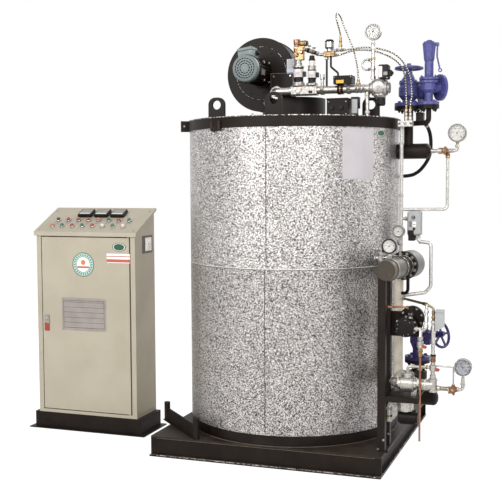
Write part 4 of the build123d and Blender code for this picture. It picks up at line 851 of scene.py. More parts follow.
def make_shell():
    """Jacket courses with their lapped and riveted seams."""
    skin = SHELL - 0.8
    form = Form()
    shell_skin(form, RING_TOP, SEAM - 0.6, skin, "shaded_lower_jacket")
    # Painted shadow: a dark line under the lap
    form.torus((0, 0, SEAM - 3.4), UP, SHELL - 1.2, 1.3, "dark_lines_and_lap_shadow", 256, 6)
    form.make("lower_jacket_sheet", "jacket", "jacket_lower")
    form = Form()
    shell_skin(form, SEAM, LID - PLATE, skin, "jacket")
    # The lap of the horizontal seam: a rolled bead, near white as a painted highlight
    form.torus((0, 0, SEAM + 1.6), UP, skin, 1.6, "cut_edge_and_highlight", 256, 8)
    # Vertical laps of the sheets, with their rivets and a strip of painted shadow beside each
    laps = [(angle - 0.4, SEAM + 8, LID - 62, "jacket") for angle in LAPS]
    laps += [(angle - 1.2, RING_TOP + 4, SEAM - 4, "shaded_lower_jacket") for angle in LAPS]
    for angle, low, high, finish in laps:
        turn = Matrix.Rotation(radians(angle), 4, "Z")
        form.box(SHELL - 2, SHELL - 0.1, -16, 0, low, high, finish, turn, 0.3)
        form.box(SHELL - 1.8, SHELL - 0.3, -20.4, -15.9, low, high, "dark_lines_and_lap_shadow", turn, 0.2)
        count = int((high - low) / RIVET_STEP)
        step = (0, 0, (high - low - 40) / (count - 1) * MM)
        foot = turn @ moved(SHELL - 0.3, -8, low + 20)
        studs = {"Count": count, "Step": step, "Head": 2.6 * MM, "Rise": 2 * MM}
        form.take(grown("studs", foot, "edging", studs), "edging")
    form.make("upper_jacket_sheet", "jacket", "jacket_upper")
    # Bare sheet where the original has a printed notice, bent to the shell
    form = Form()
    left, right, steps = -48.3, -28.5, 24
    ring = [radians(left + (right - left) * i / steps) for i in range(steps + 1)]
    edge = [((SHELL + 0.2) * cos(a), (SHELL + 0.2) * sin(a)) for a in ring]
    edge += [((SHELL - 1.2) * cos(a), (SHELL - 1.2) * sin(a)) for a in reversed(ring)]
    form.slab(edge, 1516, 1783, "sheet")
    # A bare oval badge to its right, bent in the same way
    middle, height = radians(-22.3), 1761
    for scale, lift, finish in ((1, 0, "badge_green"), (0.86, 0.25, "white"), (0.74, 0.5, "badge_green")):
        angles = [2 * pi * i / 48 for i in range(48)]
        edge = [(cos(t) * radians(4.2) * scale, sin(t) * 19 * scale) for t in angles]
        low, high = ([(reach * cos(a + middle), reach * sin(a + middle), height + h) for a, h in edge]
                     for reach in (SHELL - 1.2, SHELL + 0.2 + lift))
        prism(form, low, high, finish)
    form.make("bare_notice_sheet", "jacket")


def make_lid():
    """The lid's edge, the band that clamps it and the base ring."""
    form = Form()
    form.hollow((0, 0, LID - PLATE), UP, SHELL - 0.4, 300, PLATE, "deck", 256, 1.2)
    form.torus((0, 0, LID - 1.5), UP, SHELL - 2.4, 1.4, "worn", 256, 8)
    form.turned((0, 0, LID - PLATE), UP, [(0, 0), (0, 300.6), (11.9, 300.6), (11.9, 0)], "deck", 256, 0)
    form.make("lid_sheet", "jacket", "top_plate")
    form = Form()
    low = LID - 60
    form.hollow((0, 0, low), UP, 606, 600.4, 60, "black", 256, 1.5)
    form.torus((0, 0, low + 3), UP, 605, 1.3, "black", 256, 8)
    form.hollow((0, 0, LID - 5), UP, 606.9, 597, 5.4, "worn", 256, 1.4)
    # Ears of the band's joint, with the bolt that draws them together
    joint = 203
    for side in (-1.4, 1.4):
        ear = Matrix.Rotation(radians(joint + side), 4, "Z")
        form.box(604, 650, -4.5, 4.5, low, LID, "black", ear, 1.5)
    seam = Matrix.Rotation(radians(joint), 4, "Z")
    mid, way = seam @ Vector((630, 0, LID - 30)), seam @ Vector((0, 1, 0))
    form.rod(mid - way * 30, mid + way * 30, 5, "zinc", 16)
    for side in (-1, 1):
        bolts(form, mid + way * side * 20, way * side, 0.01, 1)
    # Clip on the band at the front left, with its drop bolt
    turn = Matrix.Rotation(radians(244), 4, "Z")
    form.box(604, 613, -37, 37, low - 15, LID - 20, "black", turn, 1.2)
    for edge in (-37, 22):
        form.box(612, 617, edge, edge + 15, low - 15, LID - 24, "deck", turn)
    form.rod(turn @ Vector((609, -14, low - 36)), turn @ Vector((609, -14, low + 10)), 5, "deck", 16)
    form.nut(turn @ Vector((609, -14, low - 34)), UP, 9, 9, "zinc")
    form.make("clamp_band", "black", "top_band")
    form = Form()
    shell_skin(form, DECK, RING_TOP, 597, "black", wall=30)
    for height, radius, thick in ((164, 596.2, 2.2), (111.5, 596.5, 3)):
        form.torus((0, 0, height), UP, radius, thick, "black", 256, 8)
    form.make("base_ring_plate", "black", "base_ring")


# ---- Dials


def dial(form, centre, radius, depth, top, needle, rim="steel", face_finish="white"):
    """A dial that faces the front, with numerals up to top and its needle at a share of the sweep."""
    x, y, z = centre
    front = y - depth / 2
    form.hollow((x, front + 4, z), FRONT, radius, radius - 5.5, 5.5, rim, 64, 1.2)
    # Dark joints inside and outside the rim
    form.torus((x, front + 4, z), FRONT, radius - 1.4, 1.4, "dark_lines_and_lap_shadow", 64, 8)
    form.hollow((x, front + 2.8, z), FRONT, radius - 5.2, radius - 7.8, 1.8, "dark_lines_and_lap_shadow", 64, 0.3)
    plate = [(0, radius - 6.2), (0.8, radius - 6.2)]
    form.turned((x, front + 3.2, z), FRONT, plate, face_finish, 64, 0.2)
    face = moved(x, front + 2.1, z) @ Matrix.Rotation(pi / 2, 4, "X")
    reach = radius - 6.5
    sizes = bpy.context.scene.dial_sizes
    sweep = sizes.sweep
    for count, length, width in ((sizes.marks, 0.11, 0.026), ((sizes.marks - 1) // 4 + 1, 0.19, 0.05)):
        size = (reach * length, reach * width, 0.3)
        bars(form, face, count, reach * (0.92 - length / 2), size, "ink", pi / 2 - sweep / 2, sweep)
    for k in range(6):
        turn = pi / 2 + sweep / 2 - sweep * k / 5
        spot = face @ Matrix.Translation(Vector((cos(turn), sin(turn), 0)) * reach * 0.60 * MM)
        letters(form, f"{top * k / 5:g}", spot, reach * 0.20, "ink")
    pointer = face @ Matrix.Rotation(pi / 2 + sweep / 2 - sweep * needle, 4, "Z")
    tip, tail = reach * 0.78, -reach * 0.22
    outline = [(tail, -0.9), (tip * 0.8, -0.7), (tip, 0), (tip * 0.8, 0.7), (tail, 0.9)]
    form.slab(outline, 0.5, 1, "ink", pointer)
    form.turned((x, front + 1.9, z), FRONT, [(0, 3.2), (1.4, 3.2), (1.8, 2.4)], "ink", 24, 0.2)
    glass = [(0, radius - 6.4), (0.7, radius - 6.4)]
    form.turned((x, front + 0.2, z), FRONT, glass, "lens", 64, 0.2)


def make_top_dial():
    """Fuel pressure dial on its white riser, with the siphon's unions."""
    x, y, z = 511, TRAIN_Y, LID + 446
    form = Form()
    dial(form, (x, y, z), 43, 34, 1, 0.0)
    case = [(-3, 0), (-3, 38), (0, 42.6), (28, 42.6), (28, 36)]
    form.turned((x, y + 17, z), FRONT, case, "steel", 48)
    form.nuts(UP, "steel", (x, y, z - 66, 12, 12))
    nuts = ((352, 13, 14), (246, 13, 12), (198, 14, 16))
    form.nuts(UP, "galvanised", *((x, y, LID + up, *size) for up, *size in nuts))
    form.nuts(UP, "brass", (x, y, LID + 300, 13, 12))
    form.nuts(RIGHT, "brass", (x - 26, y, LID + 300, 9, 10), (x - 26, y, LID + 250, 9, 10))
    form.make("fuel_dial", "gauge")


# ---- Burner: blower, motor and windbox


def make_motor():
    """The fan motor: ribbed barrel, slotted cowl and tilted terminal box."""
    x, y, z = MOTOR
    form = Form()
    form.stack(MOTOR, FRONT, [(10, 82, "black"), (216, 66, "black"), (10, 78, "black")], 64, 1.2)
    bars(form, aim((x, y - 118, z), FRONT), 24, 68.5, (9, 3, 214), "black")
    cowl = [(236, 0), (236, 74), (262, 73.4), (269, 70.5), (273.5, 64), (273.6, 0)]
    form.turned(MOTOR, FRONT, cowl, "machine", 72, 1.2)
    # Air slots in three rings round a raised middle, drawn as bars in painted shade
    for count, circle, wide in ((22, 53, 11.5), (17, 40, 11), (11, 27, 11)):
        bars(form, aim((x, y - 273.5, z), FRONT), count, circle, (6, wide, 0.8), "shadow", 0.1)
    form.torus((x, y - 273.2, z), FRONT, 15, 1.6, "machine", 40, 8)
    form.torus((x, y - 273.2, z), FRONT, 61.5, 1.4, "machine", 72, 8)
    for k in range(4):
        way = Vector((cos(radians(45 + 90 * k)), 0, sin(radians(45 + 90 * k))))
        barrel = Vector(MOTOR) + way * 74
        # A screw of the cowl, a tie bolt of the end shields and a clamp of the barrel's front shield
        screw = Vector((x, y - 250, z)) + way * 73
        form.turned(screw, way, [(0, 3.6), (1.6, 3.4), (2.2, 1.8)], "zinc", 14, 0.3)
        form.nut(barrel + Vector((0, -10, 0)), FRONT, 8, 9, "steel")
        form.rod(barrel + Vector((0, -14, 0)), barrel + Vector((0, -30, 0)), 4, "steel", 12)
        form.box(*spread(Vector((x, y - 92, z)) + way * 69, (8, 12, 8)), "steel", soft=3)
    # Terminal box: case, gasket line, lid and its screws; a gland on its right
    tilt = moved(x, y - 118, z) @ Matrix.Rotation(radians(-8), 4, "Y")
    form.box(-42, 42, -116, -18, 59, 100, "machine", tilt, 2)
    form.box(-40, 40, -114, -20, 99, 102, "plastic", tilt, 0.6)
    form.box(-42, 42, -116, -18, 101.5, 118, "machine", tilt, 3)
    for u in (-34, 34):
        for v in (-108, -26):
            spot = tilt @ moved(u, v, 117.5)
            form.turned((0, 0, 0), UP, [(0, 4), (1.6, 3.8), (2.4, 2)], "zinc", 14, 0.3, spot)
    gland = tilt @ moved(41, -50, 84) @ Matrix.Rotation(pi / 2, 4, "Y")
    form.turned((0, 0, 0), UP, [(0, 13), (8, 13)], "plastic", 6, 0.8, gland)
    form.turned((0, 0, 0), UP, [(8, 10), (18, 9), (22, 6)], "plastic", 24, 0.8, gland)
    # Bare rating plate on the barrel's right side
    form.box(x + 66, x + 75, y - 196, y - 148, z - 30, z + 2, "plate", soft=0.6)
    form.make("fan_motor", "grey", "blower_motor")


def make_blower():
    """Rims and fastenings of the scroll and of the box that joins it to the windbox."""
    x, y, z = MOTOR
    form = Form()
    form.torus((x, y + 0.5, z), FRONT, 148.6, 1.1, "worn", 128, 8)
    bolts(form, MOTOR, FRONT, 128, 8, 6, 4, "black", spin=0.3)
    form.torus((x, y + 2, z), FRONT, 100, 2, "black", 96, 8)
    # Flange seam of the air box, painted highlights along its top and left edges, and its bare plate
    for *limits, finish, soft in (
        (-78, 50, -184, -178, 1986, 1998, "black", 1.5),
        (-78, 50, -184, -113, 2101, 2106, "black", 1.5),
        (-79, 51, -185.6, -182, 2102, 2106.8, "dust", 0.8),
        (-79.6, -77, -185.6, -182, 2000, 2103, "dust", 0.8),
        (14, 55, -184, -180, 2100, 2181, "pale_blue", 1.2),
        (19, 50, -184.6, -183, 2128, 2176, "pale_grey", 0.6),
    ):
        form.box(*limits, finish, soft=soft)
    form.nuts(FRONT, "zinc", *((u, -181, v, 6, 4) for u in (-62, 34) for v in (2004, 2090)))
    # Rolled ring where the windbox meets the lid, with its nuts
    form.hollow((0, 0, LID), UP, 192, 179, 6, "black", 128, 1.5)
    bolts(form, (0, 0, LID + 6), UP, 186, 12, 6, 5, spin=0.2)
    # Sight tube on the windbox's left: bezel and glass
    way = Vector((cos(radians(237)), sin(radians(237)), 0))
    spot = Vector((0, 0, LID + 95)) + way * (175 + 26)
    form.hollow(spot - way * 2, way, 27.5, 17, 6, "black", 40, 1)
    form.hollow(spot + way * 1.5, way, 19, 16, 3.5, "steel", 40, 0.6)
    form.turned(spot, way, [(0, 0), (0, 17), (2, 17), (2, 0)], "lamp_dark", 32, 0.3)
    # Nut on the lid below the scroll
    form.nut((-144, -310, LID), UP, 12, 16, "black")
    form.rod((-144, -310, LID + 10), (-144, -310, LID + 30), 5, "zinc", 14)
    form.make("blower_trim", "black")


# ---- Fuel train


def make_fuel_valves():
    """Double valve block with its two coil-driven heads."""
    form = Form()
    y, z = TRAIN_Y, TRAIN_Z
    half, bevel = 27, 7
    flat = half - bevel
    edge = [(half, -flat), (half, flat), (flat, half), (-flat, half), (-half, flat), (-half, -flat),
            (-flat, -half), (flat, -half)]
    place = aim((62, y, z), RIGHT)
    form.slab([(u * 0.97, v * 0.97) for u, v in edge], 4, 139, "cast", place)
    for low, high in ((0, 9), (66, 77), (134, 143)):
        form.slab(edge, low, high, "cast", place)
    # Test plugs, cover screws and a bare plate on the front
    form.nuts(FRONT, "steel", *((x, y - 25, z + 8, 7, 4) for x in (84, 148, 190)))
    form.nuts(FRONT, "brass", (119, y - 25, z + 8, 7, 4))
    form.turned((101, y - 25, z - 8), FRONT, [(0, 13), (4, 13), (5, 10)], "cast", 32, 0.6)
    form.box(160, 182, y - 27.6, y - 25, z - 17, z - 3, "plastic", soft=0.4)
    places = [(x, y - 25.5, z + rise) for x in (70, 132, 142, 197) for rise in (-18.05, 18.05)]
    form.screws(FRONT, [(0, 3.6), (2.6, 3.4), (3.2, 2)], *places, sides=14)
    main = [(8, 37, "cast"), (11, 34, "cast"), (25, 26, "plastic"), (3, 27, "plastic"), (44, 27, "coil"),
            (8, 27, "plastic"), (9, 31, "cast"), (15, 20, "cast"), (16, 19, 17, "cast")]
    form.stack((97, y, z + 26), UP, main, 56)
    bolts(form, (97, y, z + 45), UP, 30.5, 4, 4.2, 4, spin=radians(45))
    second = [(12, 32, "cast"), (24, 21, "plastic"), (5, 24, "plastic"), (38, 24, "coil"), (5, 24, "plastic"),
              (8, 23, "cast"), (8, 21, "cast"), (8, 23, "cast"), (26, 17, "coil"), (8, 18, "plastic"),
              (20, 16, 13, "plastic")]
    form.stack((173, y, z + 26), UP, second, 48)
    bolts(form, (173, y, z + 38), UP, 27, 4, 3.6, 3.5, spin=radians(45))
    # Plug boxes of the coils, on their right and rear
    form.box(120, 138, y - 11, y + 13, z + 76, z + 104, "plastic", soft=2)
    form.box(195, 211, y - 10, y + 12, z + 70, z + 96, "plastic", soft=2)
    # Bare labels wrapped on the coils
    for x, reach, low in ((97, 27, 2082), (173, 24, 2068)):
        form.box(x - 11, x + 11, y - reach - 0.6, y - reach + 4, low, low + 20, "sheet", soft=0.3)
    form.make("fuel_valve_set", "bright", "fuel_valves")


def make_pilot():
    """Pilot valves in brass, the chain of unions and the small regulator on its legs."""
    y = TRAIN_Y
    form = Form()
    form.box(80, 129, y - 15, y + 15, 2165.3, 2236, "brass", soft=3)
    form.turned((88, y - 10, 2194), FRONT, [(0, 14), (9, 14), (12, 10), (18, 10)], "brass", 28)
    form.turned((117, y - 10, 2208), FRONT, [(0, 12), (10, 12), (13, 8)], "bronze", 28)
    form.nuts(FRONT, "bronze", (88, y - 24, 2194, 9, 7))
    form.nuts(FRONT, "steel", (117, y - 20, 2208, 8, 6))
    form.box(100, 131, y - 8, y + 8, 2232, 2254, "brass", soft=2)
    steps = [(22, 14, "brass"), (14, 18, "bronze"), (26, 15, "bronze"), (26, 18, "bronze")]
    form.stack((87, y, 2190), UP, steps, 32)
    form.nuts(UP, "brass", (87, y, 2226, 18.5, 12))
    form.nuts(UP, "bronze", (87, y, 2266, 19, 12))
    form.stack((100, y, 2255.3), RIGHT, [(10, 12, "brass"), (34, 16, "brass"), (6, 13, "plastic")], 32)
    form.nuts(RIGHT, "brass", (104, y, 2255.3, 17.5, 9))
    form.nuts(RIGHT, "bronze", (129, y, 2255.3, 17.5, 8))
    # The chain of unions that slopes down to the manifold, with two cocks
    start, corner, end = Vector((130, y, 2224.5)), Vector((221.7, y, 2190.5)), Vector((239.7, y, 2190.5))
    bent(form, (start, corner, end), 8.5, 9, "steel")
    way = (corner - start).normalized()
    for along, reach, height, finish in (
        (6, 12, 9, "brass"), (18, 15, 12, "plastic"), (34, 13, 10, "steel"),
        (47, 15, 9, "brass"), (60, 12, 12, "plastic"), (76, 14, 11, "steel"),
    ):
        form.nut(start + way * along, way, reach, height, finish)
    for along, rise in ((24, 26), (52, 24)):
        head = start + way * (along + 6) + Vector((0, 0, rise))
        form.rod(start + way * along, head, 3.4, "steel", 12)
        form.box(*spread(head, (9, 5, 3)), "plastic")
    form.make("pilot_valve_cluster", "brass", "pilot_valves")
    form = Form()
    form.box(240.3, 302, y - 18, y + 18, 2176, 2205, "brass", soft=3)
    form.nuts(FRONT, "bronze", (256, y - 17, 2190, 8, 4), (286, y - 17, 2190, 8, 4))
    cap = [(15, 14, "steel"), (4, 22, "plastic"), (32, 25, "steel"), (6, 25, "plastic"),
           (6, 21, 19, "plastic")]
    form.stack((271, y, 2205), UP, cap, 56, 1.6)
    form.rod((271, y, 2210), (340, y, 2210), 7.4, "steel", 24)
    form.nuts(RIGHT, "steel", (300, y, 2190, 13, 8), (310, y, 2210, 11, 10), (331, y, 2210, 11, 9))
    form.stack((332, y, 2210), UP, [(16, 7, "steel"), (14, 10, "brass"), (28, 7, "brass")], 28)
    form.nuts(UP, "brass", (332, y, 2226, 10.6, 13))
    form.nuts(UP, "bronze", (332, y, 2250, 9, 9))
    form.nuts(UP, "steel", (256, y, 2162, 10, 12))
    form.rod((256, y, 2021.5), (256, y, 2180), 5.6, "plastic", 20)
    bent(form, ((279, y, 2182), (279, y, 2122.6), (319, y, 2088.6), (319, y, 2070.8)), 5.6, 14, "plastic")
    form.make("pilot_regulator_post", "bright", "pilot_regulator")


def make_governor():
    """Gas regulator: cast barrel with bolted cover, spring tower below and black coil above."""
    y, z = TRAIN_Y, TRAIN_Z
    form = Form()
    barrel = [(5, 30, "cast"), (9, 27, "cast"), (12, 39, 42, "cast"), (58, 42, "cast"), (12, 42, 39, "cast"),
              (9, 27, "cast"), (5, 30, "cast")]
    form.stack((492, y, z), RIGHT, barrel, 56, 1.4)
    form.nut((493, y, z), RIGHT, 29, 6, "cast")
    dome = [(6, 26, 31, "cast"), (6, 31, 34, "cast"), (74, 34, "cast"), (6, 34, 31, "cast"),
            (6, 31, 26, "cast")]
    form.stack((547, y, 1948), UP, dome, 56, 1.2)
    for low in (1984, 1988.6):
        form.hollow((547, y, low), UP, 44, 33, 4, "cast", 64)
    bolts(form, (547, y, 1992.6), UP, 40, 10, 3.4, 3, spin=0.3)
    # Round cover on the front, with its screws and plug
    form.turned((547, y - 36, z + 2), FRONT, [(0, 34), (5, 34), (9, 31), (9.1, 0)], "cast", 56, 1.2)
    bolts(form, (547, y - 41, z + 2), FRONT, 29.5, 8, 3.2, 3, spin=0.2)
    form.nut((547, y - 44, z + 2), FRONT, 9, 6, "steel")
    form.stack((555, y, 1906), UP, [(8, 19, 23, "plastic"), (36, 23, "plastic"), (8, 24, "cast")])
    for low in (1918, 1928, 1938):
        form.hollow((555, y, low), UP, 24, 22, 4, "plastic")
    # Coil: black case with round corners, white front plate, plug on the right
    form.box(543, 599, y - 29, y + 29, 2044, 2121, "plastic", soft=6)
    form.box(545, 566, y - 31, y - 27, 2054, 2112, "coil", soft=1.2)
    form.box(572, 594, y - 30.4, y - 28, 2064, 2082, "grey_plastic", soft=0.4)
    form.box(597, 613, y - 18, y + 14, 2060, 2092, "plastic", soft=3)
    form.turned((612, y - 2, 2076), RIGHT, [(0, 9), (6, 9), (9, 6)], "plastic", 24, 0.8)
    form.screws(FRONT, [(0, 3), (2.4, 3), (3, 1.6)], (550, y - 28, 2050), (592, y - 28, 2050))
    form.make("gas_governor", "bright", "gas_regulator")


def make_train_details():
    """Unions and tees on the fuel pipe, and the fittings of the ignition boxes."""
    y, z = TRAIN_Y, TRAIN_Z
    form = Form()
    form.nuts(RIGHT, "galvanised", (223, y, z, 29, 20), (369, y, z, 29, 20), (416, y, z, 26, 12),
              (437, y, z, 26, 12), (455, y, z, 25, 14))
    form.nuts(RIGHT, "bronze", (319, y, z, 31, 14), (336, y, z, 30, 14))
    form.nuts(UP, "brass", (431, y, z + 18, 13, 12))
    form.nuts(UP, "steel", (232, y, z + 56, 13, 12))
    form.turned((232, y, z + 68), UP, [(0, 12), (14, 12), (17, 9)], "coil", 28)
    form.nuts(UP, "galvanised", *((480, y, height, 15, 12) for height in (1868, 1944, 1962)))
    form.nuts(BACK, "galvanised", (-45, -206, z, 28, 12))
    bolts(form, (-45, -191, z), FRONT, 28, 4, 4.5, 4, spin=radians(45))
    form.hollow((52, y, z), RIGHT, 27, 20, 10, "galvanised", 40, 1)
    form.make("train_unions", "bright")
    form = Form()
    # Relay box: seam of its lid, bare gold plate and corner screws
    form.box(300.5, 405.5, -269.2, -190.8, 2052, 2055, "plastic", soft=0.8)
    form.box(318, 360, -269.6, -267, 2029, 2047, "gold_plate", soft=0.5)
    form.screws(FRONT, [(0, 3.4), (2.2, 3.2), (2.8, 1.6)], (308, -267.5, 2062), (398, -267.5, 2062))
    # Ignition transformer: ribbed lid, cable glands and screws
    form.box(270, 390, -292, -172, 1942, 1950, "black", soft=2)
    places = [(x, -289.5, height) for x in (282, 378) for height in (1930, 1864)]
    form.screws(FRONT, [(0, 3.6), (2.2, 3.4), (2.8, 1.8)], *places)
    form.nuts(FRONT, "plastic", (300, -289, 1898, 12, 10), (352, -289, 1898, 12, 10))
    form.box(400, 432, -257, -253, 1868, 1944, "pale_grey", soft=0.8)
    form.make("ignition_box_fittings", "black")


# ---- Steam side


def make_steam_fittings():
    """Needle valve with the steam dial, its pipe tap, and the port block's unions."""
    form = Form()
    steps = [(20, 13, "galvanised"), (22, 10, "galvanised"), (20, 18, "galvanised"), (8, 15, "bronze"),
             (16, 22, "bronze"), (6, 15, "bronze"), (20, 12, "galvanised")]
    form.stack((785.3, 0, 1669), RIGHT, steps, 36)
    bent(form, ((885, 0, 1669), (928, 0, 1669), (928, 0, 1703)), 9, 14, "galvanised")
    form.nuts(RIGHT, "galvanised", (827, 0, 1669, 18.6, 18), (898, 0, 1669, 13, 9))
    form.nuts(UP, "galvanised", (928, 0, 1688, 13, 12))
    form.nuts(UP, "brass", (877, 0, 1628, 12, 14))
    form.stack((877, 0, 1641), UP, [(10, 13, "bronze"), (14, 10, "bronze")], 28)
    star_handle(form, (863, -22, 1669), 24, 14, "bronze", "brass")
    dial(form, (928, 0, 1764), 50, 38, 1.6, 0.62)
    form.turned((928, 14, 1764), BACK, [(-30, 49.4), (2, 49.4), (5, 44)], "steel", 64, 1.2)
    form.stack((928, 0, 1698), UP, [(12, 7, "brass"), (8, 10, "brass")], 24)
    form.make("steam_gauge_set", "gauge", "header_gauge")
    form = Form()
    for x in (668, 690):
        form.nuts(UP, "brass", (x, -112, 1829, 11, 14), (x, -112, 1872, 9.5, 12))
        form.nuts(UP, "bronze", (x, -112, 1851, 9.5, 9))
    form.nuts(UP, "galvanised", *((640, -90, z, 13, 14) for z in (1784, 1700, 1420)))
    form.nuts(UP, "galvanised", *((640, -90, z, 13, 16) for z in (1240, 1108)))
    form.nuts(FRONT, "bronze", (634, -127, 1815, 7, 5), (696, -127, 1815, 7, 5))
    form.nuts(FRONT, "steel", (665, -127, 1815, 9, 6))
    form.box(710.5, 753.5, -67.5, -18.5, 1866, 1872, "black", soft=1.5)
    form.nuts(UP, "zinc", (732, -43, 1876, 9, 8))
    form.make("port_unions", "brass")


def star_handle(form, centre, radius, reach, finish, heart):
    """A handle of five lobes that faces the front, on its stem."""
    x, y, z = centre
    outline = []
    for t in (2 * pi * i / 60 for i in range(60)):
        lobe = radius * (0.80 + 0.20 * cos(5 * t))
        outline.append((lobe * cos(t), lobe * sin(t)))
    place = aim(centre, FRONT)
    form.slab([(u * 0.94, v * 0.94) for u, v in outline], reach - 1, reach + 8, finish, place)
    form.slab(outline, reach, reach + 6, finish, place)
    form.turned(centre, FRONT, [(0, 7), (reach, 7)], heart, 24, 0.6)
    cap = [(0, radius * 0.36), (4, radius * 0.34), (6, radius * 0.2)]
    form.turned((x, y - reach - 6, z), FRONT, cap, heart, 28, 0.6)


def make_pressure_switch():
    """Pressure switch: grey case with a scale, a window, two knobs and a black cover low on its left."""
    form = Form()
    for *limits, finish, soft in (
        (678, 752, -117, -60, 1210, 1340, "grey_plastic", 6),
        (684, 752.6, -120, -114, 1216, 1341, "pale_grey", 4),
        (689, 702, -121, -118, 1256, 1287, "plastic", 0.8),
        (708, 728, -121, -118, 1258, 1286, "white", 0.8),
        (711, 725, -121.6, -120.4, 1268, 1271, "ink", 0.2),
        (709, 715, -129, -127, 1299, 1317, "grey_plastic", 0.6),
        (683, 717, -121.4, -112, 1206, 1240, "plastic", 3),
        (683, 719, -114, -65, 1180.2, 1211, "plastic", 4),
    ):
        form.box(*limits, finish, soft=soft)
    for k in range(6):
        low = 1259 + 5 * k
        form.box(690.5, 697 if k % 2 else 700, -121.6, -120.6, low, low + 1.2, "white", soft=0.1)
    form.turned((712, -119.5, 1308), FRONT, [(0, 10), (3, 10), (8, 7.5)], "plastic", 32, 0.8)
    form.turned((716, -119.5, 1246), FRONT, [(0, 7), (4, 7), (6, 5)], "plastic", 28, 0.8)
    form.rod((648, -90, 1300), (679, -90, 1300), 7.8, "galvanised", 24)
    form.nuts(RIGHT, "galvanised", (662, -90, 1300, 13, 14))
    places = [(x, -119.6, z) for x, z in ((690, 1330), (746, 1330), (746, 1222))]
    form.screws(FRONT, [(0, 3), (1.6, 2.8), (2.2, 1.4)], *places)
    form.make("pressure_switch_case", "grey", "pressure_switch")
    form = Form()
    form.nuts(DOWN, "pale_pipe", (734, -92, 1209, 14, 14))
    form.nuts(RIGHT, "galvanised", (740, -93, 1176, 13, 12))
    form.make("conduit_gland", "grey")


# ---- Water level chamber


def make_chamber():
    """Level chamber: stepped barrel, bolted flange ring and float drum behind."""
    tilt = radians(6.3)
    way = Vector((sin(tilt), cos(tilt), 0))
    start = Vector(CHAMBER)
    form = Form()
    steps = [(3, 50, "olive"), (51, 52, "warm_grey"), (8, 58, "warm_grey"), (145, 55, "warm_grey"),
             (8, 61, "warm_grey"), (85, 57, "black"), (6, 77, "black"), (18, 75, "black"), (6, 77, "black"),
             (6, 74, "drum"), (128, 75, "drum"), (6, 75, 71, "drum")]
    form.stack(start, way, steps, 72, 1.4)
    # Painted highlights: bright steel rings where the barrel's edges catch the light
    for along, reach, thick in ((58, 56.6, 2.6), (211, 59.6, 2.6), (299, 56.5, 2)):
        form.torus(start + way * along, way, reach, thick, "steel", 72, 8)
    form.hollow(start - way * 0.6, way, 47, 45, 1.6, "olive", 64, 0.4)
    bolts(form, start + way * 300.5, -way, 67, 12, 6.5, 6, spin=0.2)
    bolts(form, start + way * 330, way, 67, 12, 6.5, 6, spin=0.2)
    form.make("level_chamber_body", "grey", "level_chamber")
    form = Form()
    dial(form, (648, -440, 1172), 39, 32, 1.6, 0.7, "plastic")
    dial(form, (636, -138, 1232), 34, 28, 1, 0.1)
    form.turned((648, -424, 1172), BACK, [(-24, 38.6), (0.5, 38.6), (3, 34)], "plastic", 56)
    form.turned((636, -124, 1232), BACK, [(-20, 33.6), (0.5, 33.6), (3, 30)], "plastic", 56)
    form.nuts(UP, "galvanised", (648, -440, 1118, 11, 11), (636, -138, 1184, 10, 11))
    form.nuts(UP, "galvanised", (640, -90, 1152, 13, 11))
    # Try cock to the left of the dial: a cast body with two short arms
    body = [(18, 11, "steel"), (26, 16, "cast"), (10, 12, "steel"), (12, 15, "cast"), (10, 11, "steel"),
            (20, 15, "cast"), (10, 10, "steel")]
    form.stack((604, -438, 1076), UP, body, 28)
    arm = [(9, 13, "steel"), (8, 9, "cast"), (8, 12, "steel"), (14, 9, "cast")]
    form.stack((566, -438, 1156), RIGHT, arm, 28)
    form.stack((568, -438, 1110), RIGHT, [(9, 13, "steel"), (28, 8.6, "cast")], 28)
    form.nuts(RIGHT, "galvanised", (630, -440, 1112, 11.5, 12))
    form.box(596, 634, -452, -448, 1128, 1135, "galvanised")
    form.make("chamber_dials", "gauge")


# ---- Feed side


def lever(form, place):
    """The red lever of a ball cock, flat on a matrix."""
    form.slab([(14, -5), (20, -9), (33, -7), (36, 0), (33, 7), (20, 9), (14, 5)], -4, 4, "red", place)


